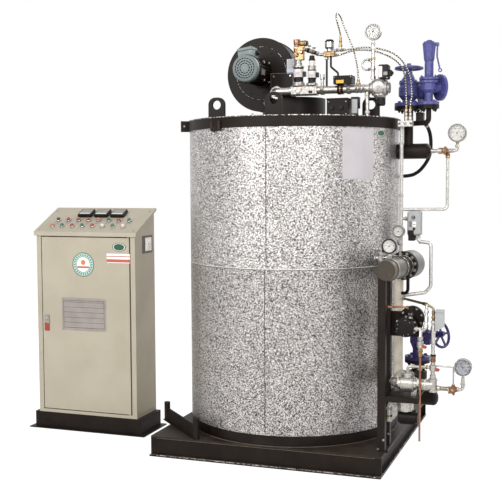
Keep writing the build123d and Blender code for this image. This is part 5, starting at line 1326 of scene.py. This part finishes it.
def make_feed_column():
    """White gauge pipe with its cock, grey box, star valve and the feed dial."""
    x, y, z = COLUMN
    facing = Matrix.Rotation(pi / 2, 4, "X")
    form = Form()
    steps = [(20, 16, "galvanised"), (20, 12, "galvanised"), (30, 18, "galvanised"), (16, 12, "galvanised"),
             (31, 13, "bronze"), (8, 15, "plastic"), (160, 10.5, "pale_pipe"), (12.7, 12.5, "pale_pipe"),
             (12, 8, "brass"), (8, 10, "brass"), (9, 8, "brass")]
    form.stack(COLUMN, UP, steps, 32)
    form.nuts(UP, "galvanised", (x, y, z + 2, 16.6, 17), (x, y, z + 42, 18.6, 12))
    form.nuts(UP, "bronze", (x, y, z + 88, 14.4, 12))
    form.nuts(UP, "brass", (x, y, z + 106, 14.4, 10), (x, y, z + 311, 11, 9))
    form.nuts(UP, "pale_pipe", (x, y, z + 290, 14, 9))
    form.rod((x, y, 543), (x + 18, y, 543), 5, "brass")
    lever(form, moved(x, y - 9, 543) @ facing)
    # Grey box on its bracket
    case = moved(x, y, 0) @ facing
    form.slab([(12, 742), (54, 764), (54, 852), (12, 852)], -20, 20, "pale_grey", case)
    form.box(x + 13.5, x + 52.5, y - 21, y + 21, 838, 841, "grey_plastic", soft=0.4)
    places = [(x + u, y - 19.6, v) for u, v in ((19, 762), (47, 832), (19, 832))]
    form.screws(FRONT, [(0, 2.8), (1.4, 2.6), (2, 1.4)], *places)
    form.rod((x, y, 782), (x + 13, y, 782), 6, "galvanised")
    form.make("feed_gauge_column", "bright", "gauge_column")
    # Arm to the right: braided union, star valve, impulse pipe and dial
    form = Form()
    low, right = 447, 1026
    arm = [(14, 14, "galvanised"), (4, 12, "braid"), (32, 11, "braid"), (4, 12, "braid"),
           (10, 14, "galvanised"), (8, 13, "bronze"), (20, 18, "bronze"), (8, 13, "bronze"),
           (12, 12, "galvanised")]
    form.stack((x + 22.3, y, low), RIGHT, arm, 32)
    for k in range(7):
        form.torus((x + 42 + 4.2 * k, y, low), RIGHT, 11.2, 1, "steel", 32, 6)
    form.nuts(RIGHT, "galvanised", (x + 23, y, low, 14.6, 12), (x + 77, y, low, 14.6, 9))
    bent(form, ((1004, y, low), (right, y, low), (right, y, 508)), 9, 16, "galvanised")
    form.nuts(UP, "galvanised", (right, y, 470, 13, 12))
    form.stack((right, y, 492), UP, [(12, 9, "galvanised"), (14, 7, "galvanised")], 24)
    star_handle(form, (978, y - 14, low), 26, 16, "bronze", "brass")
    bent(form, ((x + 12, y, 561), (978, y, 561), (978, y, 462)), 4.5, 8, "galvanised")
    form.nuts(UP, "brass", (978, y, 462, 9, 10))
    dial(form, (right, y, 564), 45, 38, 1.6, 0.35, "steel", "dial_grey")
    form.turned((right, y + 14, 564), BACK, [(-30, 44.4), (2, 44.4), (5, 40)], "steel", 64, 1.2)
    form.make("feed_dial_set", "gauge")


def make_sampling():
    """Sample cock over the copper drain, its pipes from the pump and the braided link."""
    x, y, z = SAMPLE
    form = Form()
    steps = [(20, 11, "brass"), (20, 14, "brass"), (8, 12, "galvanised"), (30, 17, "galvanised"),
             (8, 12, "galvanised"), (16, 14, "galvanised")]
    form.stack(SAMPLE, UP, steps, 32)
    form.nuts(UP, "brass", (x, y, z + 22, 14.6, 12), (x, y, z + 3, 12, 10))
    form.nuts(UP, "galvanised", (x, y, z + 88, 14.6, 11))
    form.rod((x, y, z + 63), (x + 16, y, z + 63), 5.5, "brass")
    spin = Matrix.Rotation(pi / 2, 4, "X") @ Matrix.Rotation(-0.2, 4, "Z")
    outline = [(12, -5), (19, -9), (33, -7), (36, 0), (33, 7), (19, 9), (12, 5)]
    form.slab(outline, -4, 4, "red", moved(x, y - 9, z + 56) @ spin)
    bent(form, ((764, -454, 751), (x, -454, 751), (x, y, 711)), 8.8, 10, "galvanised")
    form.nuts(RIGHT, "galvanised", (786, -454, 751, 13, 12))
    rise = [Vector((x, -462, 739)), Vector((838, -444, 755)), Vector((838, -416, 873))]
    bent(form, rise, 8, 12, "galvanised")
    way = (rise[2] - rise[1]).normalized()
    sizes = ((18, 13), (14, 8), (30, 12), (16, 8), (14, 12))
    steps = [(length, radius, "galvanised") for length, radius in sizes]
    form.stack(rise[1], way, steps, 28)
    form.nuts(way, "galvanised", (*(rise[1] + way * 2), 13.6, 12), (*(rise[1] + way * 80), 12.6, 10))
    # Braided link from the column's top to the gauge pipe, with crimped ends
    corners = ((678, -226, 878), (838, -412, 874), (874, -430, 858.3), (874, -430, 822.3))
    link = [Vector(corner) for corner in corners]
    bent(form, link, 6.8, 12, "braid")
    way = (link[1] - link[0]).normalized()
    form.nuts(way, "galvanised", (*(link[0] + way * 4), 11, 12))
    form.nuts(way, "brass", (*(link[1] - way * 14), 11, 11))
    form.hollow(link[1] - way * 34, way, 9, 6.6, 18, "brass", 24)
    form.hollow((874, -430, 826), UP, 9, 6.6, 18, "brass", 24)
    form.make("sample_cock_set", "bright", "sample_pipes")


def make_pumps():
    """Front ends, rims and screws of the feed pump and of the circulating pump."""
    x, y, z = PUMP
    form = Form()
    form.turned((x, y, z), FRONT, [(-2, 46), (1.5, 46), (3, 43), (3.1, 0)], "rubber", 56, 0.8)
    form.torus((x, y - 2, z), FRONT, 30, 1.4, "rubber", 48, 8)
    for k in range(10):
        turn = pi * k / 5 + 0.2
        spot = (x + 39 * cos(turn), y - 2.6, z + 39 * sin(turn))
        form.screws(FRONT, [(0, 2.4), (1.4, 2.2), (2, 1.2)], spot, finish="zinc" if k % 3 else "black")
    bars(form, aim((x, y + 76, z), FRONT), 31, 50, (12, 2.4, 52), "rubber")
    bolts(form, (x, y + 34, z), FRONT, 51.5, 6, 4.5, 4, spin=0.5)
    bolts(form, (x + 19, -362, z + 37), FRONT, 54, 8, 5, 5, spin=0.3)
    form.hollow((x + 19, -361, z + 37), FRONT, 63, 57, 4, "black", 56, 1)
    form.nuts(UP, "zinc", (760, -450, 803, 11, 10))
    form.nuts(UP, "galvanised", (760, -450, 820, 13, 13))
    form.nuts(RIGHT, "brass", (738, -450, 861, 9, 12), (644, -468, 861, 8.5, 9))
    form.make("feed_pump_rims", "black")
    form = Form()
    y = COLUMN[1]
    form.hollow((735, y, 378.6), UP, 42, 14, 5, "cast", 56, 1.2)
    bolts(form, (735, y, 383.5), UP, 35, 6, 4.2, 4, spin=0.3)
    form.nuts(RIGHT, "galvanised", (690, y, 354, 16, 12))
    form.nuts(DOWN, "galvanised", (650, y, 330, 16, 14), (650, y, 262, 15, 8))
    form.nuts(DOWN, "brass", (650, y, 290, 15, 12))
    bars(form, aim((749, y, 282), RIGHT), 25, 31.5, (7, 2, 78), "plastic")
    form.hollow((798, y, 282), RIGHT, 29, 22, 3, "plastic")
    form.box(760, 792, -446, -414, 308, 322, "plastic", soft=3)
    form.make("circulating_pump_rims", "bright")
    # Feed check valve: bolted bonnet, seams and nuts of the pipes over the shelf
    form = Form()
    bolts(form, (745, y, 519), UP, 26, 4, 4.5, 4, spin=radians(45))
    for place in (712, 770):
        form.hollow((place, y, 461), RIGHT, 43, 34, 8, "cast", 56, 1)
    form.nuts(RIGHT, "galvanised", (694, y, 461, 34, 9), (794, y, 461, 32, 12), (830, y, 461, 30, 12),
              (768, y, 552, 12, 10))
    form.nuts(UP, "galvanised", (745, y, 518, 13, 12), (874, y, 426, 26, 12), (874, y, 484, 25, 10))
    form.nuts(BACK, "galvanised", (672, -396, 461, 31, 12), (672, -250, 461, 31, 12))
    form.nuts(RIGHT, "brass", (838, y, 552, 12, 10))
    slope = Vector((-22.8, 0, -38)).normalized()
    side = [(8, 13, "brass"), (24, 12, "plastic"), (4, 9, "plastic")]
    form.stack(Vector((812, y, 552)) + slope * 12, slope, side, 28)
    form.make("feed_pipe_nuts", "bright")


# ---- Skid


def make_skid_details():
    """Weld seams, post bolts, worn edges and painted edge highlights of the skid."""
    form = Form()
    for y in (-500, -370):
        form.nuts(FRONT, "zinc", (606, y, 122, 6.5, 5), (634, y, 172, 6.5, 5))
    form.box(641, 656, -499, -466, 104, 109.6, "black")
    # Pale lines of dust and painted highlight along the front beam's top and its foot
    form.rod((-610, -598.5, 98), (610, -598.5, 98), 1.3, "dust", 10)
    form.box(-640, 640, -618.5, -602, 7.6, 8.8, "dust", soft=0.3)
    form.rod((-640, -618.7, 8), (640, -618.7, 8), 1.3, "worn", 10)
    form.rod((643.5, -612, 8), (643.5, 780, 8), 1.3, "worn", 10)
    form.nuts(UP, "black", *((x, -608, 8, 9, 7) for x in (-600, -200, 200, 600)))
    for y in (-560, -300, -40):
        bolts(form, (606, y, DECK), UP, 0.01, 1, 8, 6, "black")
    # Weld line round the shell's foot, pale with dust and a painted highlight
    form.torus((0, 0, DECK + 1.4), UP, 598.5, 2.2, "dust", 256, 8)
    form.make("skid_details", "skid")


# ---- Valves


def make_wheel():
    """The cast handwheel of the steam valve."""
    middle = (661, 0, 2123)
    form = Form()
    form.torus(middle, UP, 71, 8.4, "violet", 72, 16)
    for k in range(5):
        arm = moved(*middle) @ Matrix.Rotation(2 * pi * k / 5, 4, "Z")
        form.slab([(14, -8), (66, -5.5), (66, 5.5), (14, 8)], -3.5, 3.5, "violet", arm)
        form.slab([(14, -3), (64, -2), (64, 2), (14, 3)], 3.3, 5.4, "violet", arm)
    form.hollow((661, 0, 2111), UP, 18, 8.4, 24, "violet", 40, 1.5)
    form.make("steam_wheel", "violet", "stop_wheel", body="steam_valve_wheel")


def make_flange_bolts():
    """Bolts of the steam and feed flanges, and the beads and gland nuts of the valves."""
    stop, safety, feed = Vector((661, 0, 0)), Vector((783, -76, 0)), Vector((720, 0, 0))
    quarter, sixth = radians(45), radians(30)
    form = Form()
    # Place, height, way, circle, count, corner radius, height of the head, finish, turn and shank
    for foot, height, way, circle, count, across, tall, finish, spin, shank in (
        (stop, 1933, UP, 62, 4, 9, 9, "violet", quarter, 0),
        (safety, 1931, UP, 44, 4, 9, 9, "violet", quarter, 0),
        (feed, 530, UP, 55, 4, 9, 9, "dark_violet", quarter, 0),
        (stop, 1895, DOWN, 62, 4, 9, 9, "black", quarter, 16),
        (safety, 1895, DOWN, 44, 4, 9, 9, "black", quarter, 16),
        (feed, 494, DOWN, 55, 4, 9, 9, "black", quarter, 16),
        (feed, 444, UP, 44, 4, 7, 7, "black", quarter, 0),
        (feed, 404, DOWN, 44, 4, 7, 7, "black", quarter, 10),
        (Vector((650, -200, 0)), 411, UP, 38, 4, 6, 5, "zinc", quarter, 0),
        (safety, 2061, UP, 43, 6, 6, 6, "violet", sixth, 12),
        (stop, 2047, UP, 50, 6, 4.5, 6, "violet", sixth, 9),
    ):
        bolts(form, foot + Vector(UP) * height, way, circle, count, across, tall, finish, spin, shank)
    way = Vector((cos(radians(38)), sin(radians(38)), 0))
    bolts(form, stop + Vector(UP) * 1997 + way * 88, -way, 60, 6, 7, 7, "violet", spin=0.4)
    bolts(form, safety + Vector(UP) * 2009 + way * 62, -way, 55, 6, 6, 6, "violet", spin=0.4)
    tilt, spin = radians(16), radians(-29)
    slope = Vector((cos(tilt) * cos(spin), cos(tilt) * sin(spin), sin(tilt)))
    bonnet = feed + Vector(UP) * 624
    bolts(form, bonnet + slope * 76, slope, 38, 6, 6, 6, "dark_violet", spin=0.4)
    form.nut(bonnet + slope * 118, slope, 17, 12, "dark_violet")
    for z, reach in ((2066, 24.2), (2150, 24.6), (2162, 28), (2238, 35.6)):
        form.torus((783, -76, z), UP, reach, 1.6, "violet", 48, 8)
    form.nuts(UP, "violet", (783, -76, 2250.5, 15, 9), (661, 0, 2093, 19.5, 10))
    form.nuts(UP, "zinc", (661, 0, 2137, 12, 8))
    form.make("flange_bolts", "violet")


# ---- Cabinet


def make_panel():
    """Lamps and meters on the sloped panel."""
    form = Form()
    # The panel's own plane: X to the right and Y up the slope, from its front left corner
    run, rise = 265, 131
    panel = moved(-1574, -270, 1208) @ Matrix.Rotation(atan2(rise, run), 4, "X")
    # Two rows of lamps: colours from the left, distance up the slope, first place and step
    rows = (
        ("dark red red red orange green red green", 143, 100.6, 69.2),
        ("orange green red green red white green white", 70, 94.7, 68.7),
    )
    for hues, up, left, step in rows:
        for k, hue in enumerate(hues.split()):
            x = left + k * step
            spot = panel @ moved(x, up, 0)
            form.turned((0, 0, 0), UP, [(0, 0), (0, 15), (5, 15), (8, 12.5), (8, 0)], "steel", 28, 0.8, spot)
            form.turned((0, 0, 0), UP, [(4, 11), (14, 11), (19, 8), (20, 4)], "lamp_" + hue, 28, 0.8, spot)
            form.box(x - 13, x + 13, up - 31, up - 23, 0, 1, "pale_grey", panel, 0.2)
    # Three meters, each with its face, window and scale
    for left in (214, 325, 436):
        form.box(left, left + 90, 184, 256, 0, 20, "plastic", panel, 2)
        form.box(left + 7, left + 83, 192, 250, 19, 21, "meter", panel, 0.5)
        form.box(left + 13, left + 77, 216, 243, 20.4, 21.6, "grey_plastic", panel, 0.3)
        form.box(left + 10, left + 80, 196, 203, 20.4, 21.4, "white", panel, 0.3)
    for x in (24, 664):
        for up in (22, 268):
            spot = panel @ moved(x, up, 0)
            form.turned((0, 0, 0), UP, [(0, 5), (2, 5), (3, 3)], "zinc", 16, 0.5, spot)
    form.make("panel_instruments", "beige")


def make_door():
    """Bare plates, badges and the handle on the cabinet's door, and the socket on its side."""
    form = Form()
    front = -258
    # The bare plate keeps the ruled panel of such plates, without words
    form.box(-1394, -1094, front - 1.5, front + 0.5, 612, 810, "plate", soft=0.5)
    rules = [(-1380, -1108, z, z + 1.6) for z in (783, 752, 722, 690, 660)]
    rules += [(-1382, -1380, 630, 792), (-1108, -1106, 630, 792)]
    rules += [(-1382, -1106, z, z + 2) for z in (628, 792)]
    for x0, x1, z0, z1 in rules:
        form.box(x0, x1, front - 2, front - 1.2, z0, z1, "dark_lines_and_lap_shadow", soft=0.2)
    places = [(x, front - 1.2, z) for x in (-1387, -1101) for z in (619, 803)]
    form.screws(FRONT, [(0, 3.2), (1.2, 3), (1.8, 1.6)], *places)
    # Round badge: rings, a wreath of bars, a disc and a stripe
    badge = (-1243, front + 0.5, 1013)
    form.turned(badge, FRONT, [(0, 0), (0, 72), (1.2, 72), (1.2, 0)], "mint", 64, 0.2)
    form.hollow(badge, FRONT, 72.5, 68.5, 1.6, "badge_green", 64, 0.3)
    form.hollow(badge, FRONT, 47.5, 45, 1.6, "badge_green", 64, 0.3)
    bars(form, aim((-1243, front - 0.8, 1013), FRONT), 24, 58, (11, 5, 1), "badge_green")
    form.turned(badge, FRONT, [(0, 0), (0, 45), (1.5, 45), (1.5, 0)], "white", 48, 0.2)
    form.turned((-1243, front + 0.5, 1026), FRONT, [(0, 0), (0, 15), (1.9, 15), (1.9, 0)], "orange", 32, 0.2)
    form.box(-1283, -1203, front - 1.4, front, 992, 1003, "strip_red", soft=0.3)
    # Bare oval and a bare strip in white and red
    place = aim((-1002, front + 0.5, 1122), FRONT)
    for scale, high, finish in ((1, 1.6, "badge_green"), (0.88, 1.9, "white"), (0.78, 2.2, "badge_green")):
        oval = [(45 * scale * cos(pi * i / 20), 25 * scale * sin(pi * i / 20)) for i in range(40)]
        form.slab(oval, 0, high, finish, place)
    form.box(-1085, -931, front - 1, front + 0.5, 1028, 1083, "white", soft=0.3)
    for z, tall in ((1032, 18), (1064, 5)):
        form.box(-1085, -931, front - 1.4, front, z, z + tall, "strip_red", soft=0.3)
    # Handle: a grey grip over a red one
    form.box(-1513, -1481, front - 9, front + 0.5, 652, 699, "grey_plastic", soft=2.5)
    form.box(-1513, -1481, front - 9, front + 0.5, 603, 650, "red", soft=2.5)
    form.turned((-1497, front - 8, 675), FRONT, [(0, 0), (0, 7), (3, 7), (4, 5), (4, 0)], "steel", 24, 0.6)
    form.make("door_fittings", "beige", body="door")
    form = Form()
    form.box(-899, -894, -160, -26, 1079, 1184, "warm_grey")
    form.box(-895, -884, -130, -58, 1092, 1172, "white", soft=2.5)
    form.turned((-885, -94, 1132), RIGHT, [(0, 0), (0, 28), (3, 28), (5, 24), (5, 0)], "white", 40, 0.8)
    # Pin holes of the socket, drawn as short rods in painted shade
    for y, z in ((-110, 1132), (-78, 1132), (-94, 1116)):
        form.rod((-881, y, z), (-879.6, y, z), 3.2, "shadow", 12, 0.2)
    form.make("side_socket", "beige")


# ---- Stage


def make_stage(sizes):
    """The camera, the room, the pale floor and the lamps."""
    scene = bpy.context.scene
    scene.view_settings.view_transform = "Standard"
    data = bpy.data.cameras.new("camera")
    data.sensor_width, data.lens, data.clip_end = 36.0, 69.13, 200.0
    camera = placed("camera", data)
    # Turn to the left, pitch down and roll, in radians
    yaw, pitch, roll = 0.34356, 0.07315, -0.0044
    look = Matrix.Rotation(yaw, 4, "Z") @ Matrix.Rotation(pi / 2 - pitch, 4, "X")
    look = look @ Matrix.Rotation(roll, 4, "Z")
    camera.matrix_world = Matrix.Translation((1.6314, -5.3224, 1.5165)) @ look
    scene.camera = camera
    # The room lights evenly, and is white where it is seen, mirrored or looked at through glass
    world = bpy.data.worlds.new("room")
    world.use_nodes = True
    scene.world = world
    tree = world.node_tree
    plain = tree.nodes["Background"]
    plain.inputs["Color"].default_value = (1.0, 0.99, 0.975, 1.0)
    plain.inputs["Strength"].default_value = sizes.daylight
    white = put(tree, "ShaderNodeBackground", {"Color": (1, 1, 1, 1), "Strength": 1})
    path = put(tree, "ShaderNodeLightPath").outputs
    rays = {0: path["Is Camera Ray"], 1: path["Is Glossy Ray"]}
    seen = put(tree, "ShaderNodeMath", links=rays, operation="MAXIMUM")
    rays = {0: seen.outputs[0], 1: path["Is Transmission Ray"]}
    seen = put(tree, "ShaderNodeMath", links=rays, operation="MAXIMUM")
    shaders = {0: seen.outputs[0], 1: plain.outputs[0], 2: white.outputs[0]}
    both = put(tree, "ShaderNodeMixShader", links=shaders)
    tree.links.new(both.outputs[0], tree.nodes["World Output"].inputs[0])
    # Matt floor that keeps the shadow and is seen as white elsewhere, just under the feet
    half, drop = sizes.floor / 2, -0.0008
    mesh = bpy.data.meshes.new("pale_floor")
    corners = [(x * half, y * half, drop) for x, y in ((-1, -1), (1, -1), (1, 1), (-1, 1))]
    mesh.from_pydata(corners, [], [(0, 1, 2, 3)])
    floor = placed("pale_floor", mesh)
    made, tree, _ = new_material("pale_floor")
    tree.nodes.remove(tree.nodes["Principled BSDF"])
    matt = put(tree, "ShaderNodeBsdfDiffuse", {"Color": (0.92, 0.92, 0.92, 1)})
    glow = put(tree, "ShaderNodeEmission", {"Color": (1, 1, 1, 1), "Strength": 1.18})
    path = put(tree, "ShaderNodeLightPath").outputs
    share = put(tree, "ShaderNodeMath", {1: 0.75}, {0: path["Is Camera Ray"]}, operation="MULTIPLY")
    shaders = {0: share.outputs[0], 1: matt.outputs[0], 2: glow.outputs[0]}
    both = put(tree, "ShaderNodeMixShader", links=shaders)
    tree.links.new(both.outputs[0], tree.nodes["Material Output"].inputs[0])
    mesh.materials.append(made)
    # Tall soft boxes at the left, right and far right, a wide one in front and above, and one behind
    for name, place, wide, tall, power, target in (
        ("key", (-2.4, -5.5, 3.6), 0.9, 2.6, 150, (0, 0, 1.4)),
        ("fill", (3.3, -4.6, 3.2), 0.9, 2.6, 95, (0, 0, 1.3)),
        ("front", (0.4, -6.5, 4.4), 2.2, 2.0, 120, (-0.3, 0, 1.3)),
        ("side", (4.8, 1.4, 2.2), 0.8, 2.6, 20, (0, 0, 1.2)),
        ("rim", (2.5, 4.0, 4.5), 3.0, 3.0, 160, (0, 0, 1.2)),
    ):
        light = bpy.data.lights.new(name, "AREA")
        light.shape, light.size, light.size_y, light.energy = "RECTANGLE", wide, tall, power
        turn = (Vector(target) - Vector(place)).to_track_quat("-Z", "Y").to_matrix().to_4x4()
        placed(name, light).matrix_world = Matrix.Translation(place) @ turn


def dress_solids():
    """Gives each CAD solid that shows its finish."""
    coats = {
        "black": """skid_front_beam skid_rear_beam skid_left_beam skid_right_beam skid_cross_beam
            lifting_lugs blower_scroll windbox ignition_boxes steam_header front_post rear_post pipe_shelf
            feed_pump lower_header corner_bracket cabinet_plinth level_pipe circulating_motor""",
        "deck": "deck_plate",
        "galvanised": "fuel_pipe feed_pipe circulating_pump",
        "pale_pipe": "impulse_pipe conduit",
        "copper": "copper_tubes",
        "steel": "top_gauge chamber_gauges",
        "violet": "stop_valve safety_valve safety_lever",
        "dark_violet": "feed_valve feed_wheel",
        "cream": "water_column",
        "beige": "cabinet_body cabinet_door control_panel",
    }
    for finish, nodes in coats.items():
        for node in nodes.split():
            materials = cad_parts[node].data.materials
            materials.clear()
            materials.append(finishes[finish])


# ---- Operators


class BOILER_OT_finishes(bpy.types.Operator):
    """Make the finishes and coat the solids"""

    bl_idname = "boiler.finishes"
    bl_label = "Finishes"

    def execute(self, context):
        make_finishes(context.scene.finish_colours)
        dress_solids()
        return {"FINISHED"}


class BOILER_OT_hoses(bpy.types.Operator):
    """Make the corrugated gas hoses and the rubber drain hose"""

    bl_idname = "boiler.hoses"
    bl_label = "Hoses"

    def execute(self, context):
        make_hoses(context.scene.hose_sizes)
        return {"FINISHED"}


class BOILER_OT_shell(bpy.types.Operator):
    """Make the jacket, its seams, the lid and the band"""

    bl_idname = "boiler.shell"
    bl_label = "Shell"

    def execute(self, context):
        make_shell()
        make_lid()
        return {"FINISHED"}


class BOILER_OT_blower(bpy.types.Operator):
    """Make the fan motor and the trim of the blower"""

    bl_idname = "boiler.blower"
    bl_label = "Blower"

    def execute(self, context):
        make_motor()
        make_blower()
        return {"FINISHED"}


class BOILER_OT_fuel_train(bpy.types.Operator):
    """Make the valves, pilot line, regulator and boxes of the fuel train"""

    bl_idname = "boiler.fuel_train"
    bl_label = "Fuel train"

    def execute(self, context):
        make_fuel_valves()
        make_pilot()
        make_governor()
        make_train_details()
        make_top_dial()
        return {"FINISHED"}


class BOILER_OT_steam_side(bpy.types.Operator):
    """Make the steam dial, unions and pressure switch"""

    bl_idname = "boiler.steam_side"
    bl_label = "Steam side"

    def execute(self, context):
        make_steam_fittings()
        make_pressure_switch()
        return {"FINISHED"}


class BOILER_OT_level_chamber(bpy.types.Operator):
    """Make the water level chamber and its dials"""

    bl_idname = "boiler.level_chamber"
    bl_label = "Level chamber"

    def execute(self, context):
        make_chamber()
        return {"FINISHED"}


class BOILER_OT_feed_side(bpy.types.Operator):
    """Make the gauge pipe, sample cock and pump fittings"""

    bl_idname = "boiler.feed_side"
    bl_label = "Feed side"

    def execute(self, context):
        make_feed_column()
        make_sampling()
        make_pumps()
        return {"FINISHED"}


class BOILER_OT_valves(bpy.types.Operator):
    """Make the handwheel and the bolts of the flanges"""

    bl_idname = "boiler.valves"
    bl_label = "Valves"

    def execute(self, context):
        make_wheel()
        make_flange_bolts()
        return {"FINISHED"}


class BOILER_OT_skid(bpy.types.Operator):
    """Make the seams and bolts of the skid"""

    bl_idname = "boiler.skid"
    bl_label = "Skid"

    def execute(self, context):
        make_skid_details()
        return {"FINISHED"}


class BOILER_OT_cabinet(bpy.types.Operator):
    """Make the lamps, meters, plates and handle of the cabinet"""

    bl_idname = "boiler.cabinet"
    bl_label = "Cabinet"

    def execute(self, context):
        make_panel()
        make_door()
        return {"FINISHED"}


class BOILER_OT_stage(bpy.types.Operator):
    """Set the camera, the lamps and the pale floor"""

    bl_idname = "boiler.stage"
    bl_label = "Stage"

    def execute(self, context):
        make_stage(context.scene.stage_sizes)
        return {"FINISHED"}


class BOILER_PT_panel(bpy.types.Panel):
    """Sizes, colours and operators of the boiler"""

    bl_label = "Boiler"
    bl_idname = "BOILER_PT_panel"
    bl_space_type = "VIEW_3D"
    bl_region_type = "UI"
    bl_category = "Boiler"

    def draw(self, context):
        for group in (getattr(context.scene, name) for name in GROUPS):
            for key in group.__annotations__:
                self.layout.prop(group, key)
        for operator in OPERATORS:
            self.layout.operator(operator.bl_idname)


GROUPS = {
    "finish_colours": FinishColours,
    "hose_sizes": HoseSizes,
    "dial_sizes": DialSizes,
    "stage_sizes": StageSizes,
}
OPERATORS = (
    BOILER_OT_stage,
    BOILER_OT_finishes,
    BOILER_OT_hoses,
    BOILER_OT_shell,
    BOILER_OT_blower,
    BOILER_OT_fuel_train,
    BOILER_OT_steam_side,
    BOILER_OT_level_chamber,
    BOILER_OT_feed_side,
    BOILER_OT_valves,
    BOILER_OT_skid,
    BOILER_OT_cabinet,
)


def register():
    for name, group in GROUPS.items():
        bpy.utils.register_class(group)
        setattr(bpy.types.Scene, name, PointerProperty(type=group))
    for kind in (*OPERATORS, BOILER_PT_panel):
        bpy.utils.register_class(kind)


def unregister():
    for kind in (BOILER_PT_panel, *reversed(OPERATORS)):
        bpy.utils.unregister_class(kind)
    for name, group in reversed(GROUPS.items()):
        delattr(bpy.types.Scene, name)
        bpy.utils.unregister_class(group)


def main():
    register()
    for operator in OPERATORS:
        area, name = operator.bl_idname.split(".")
        getattr(getattr(bpy.ops, area), name)()
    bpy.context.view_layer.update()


if __name__ == "__main__":
    main()
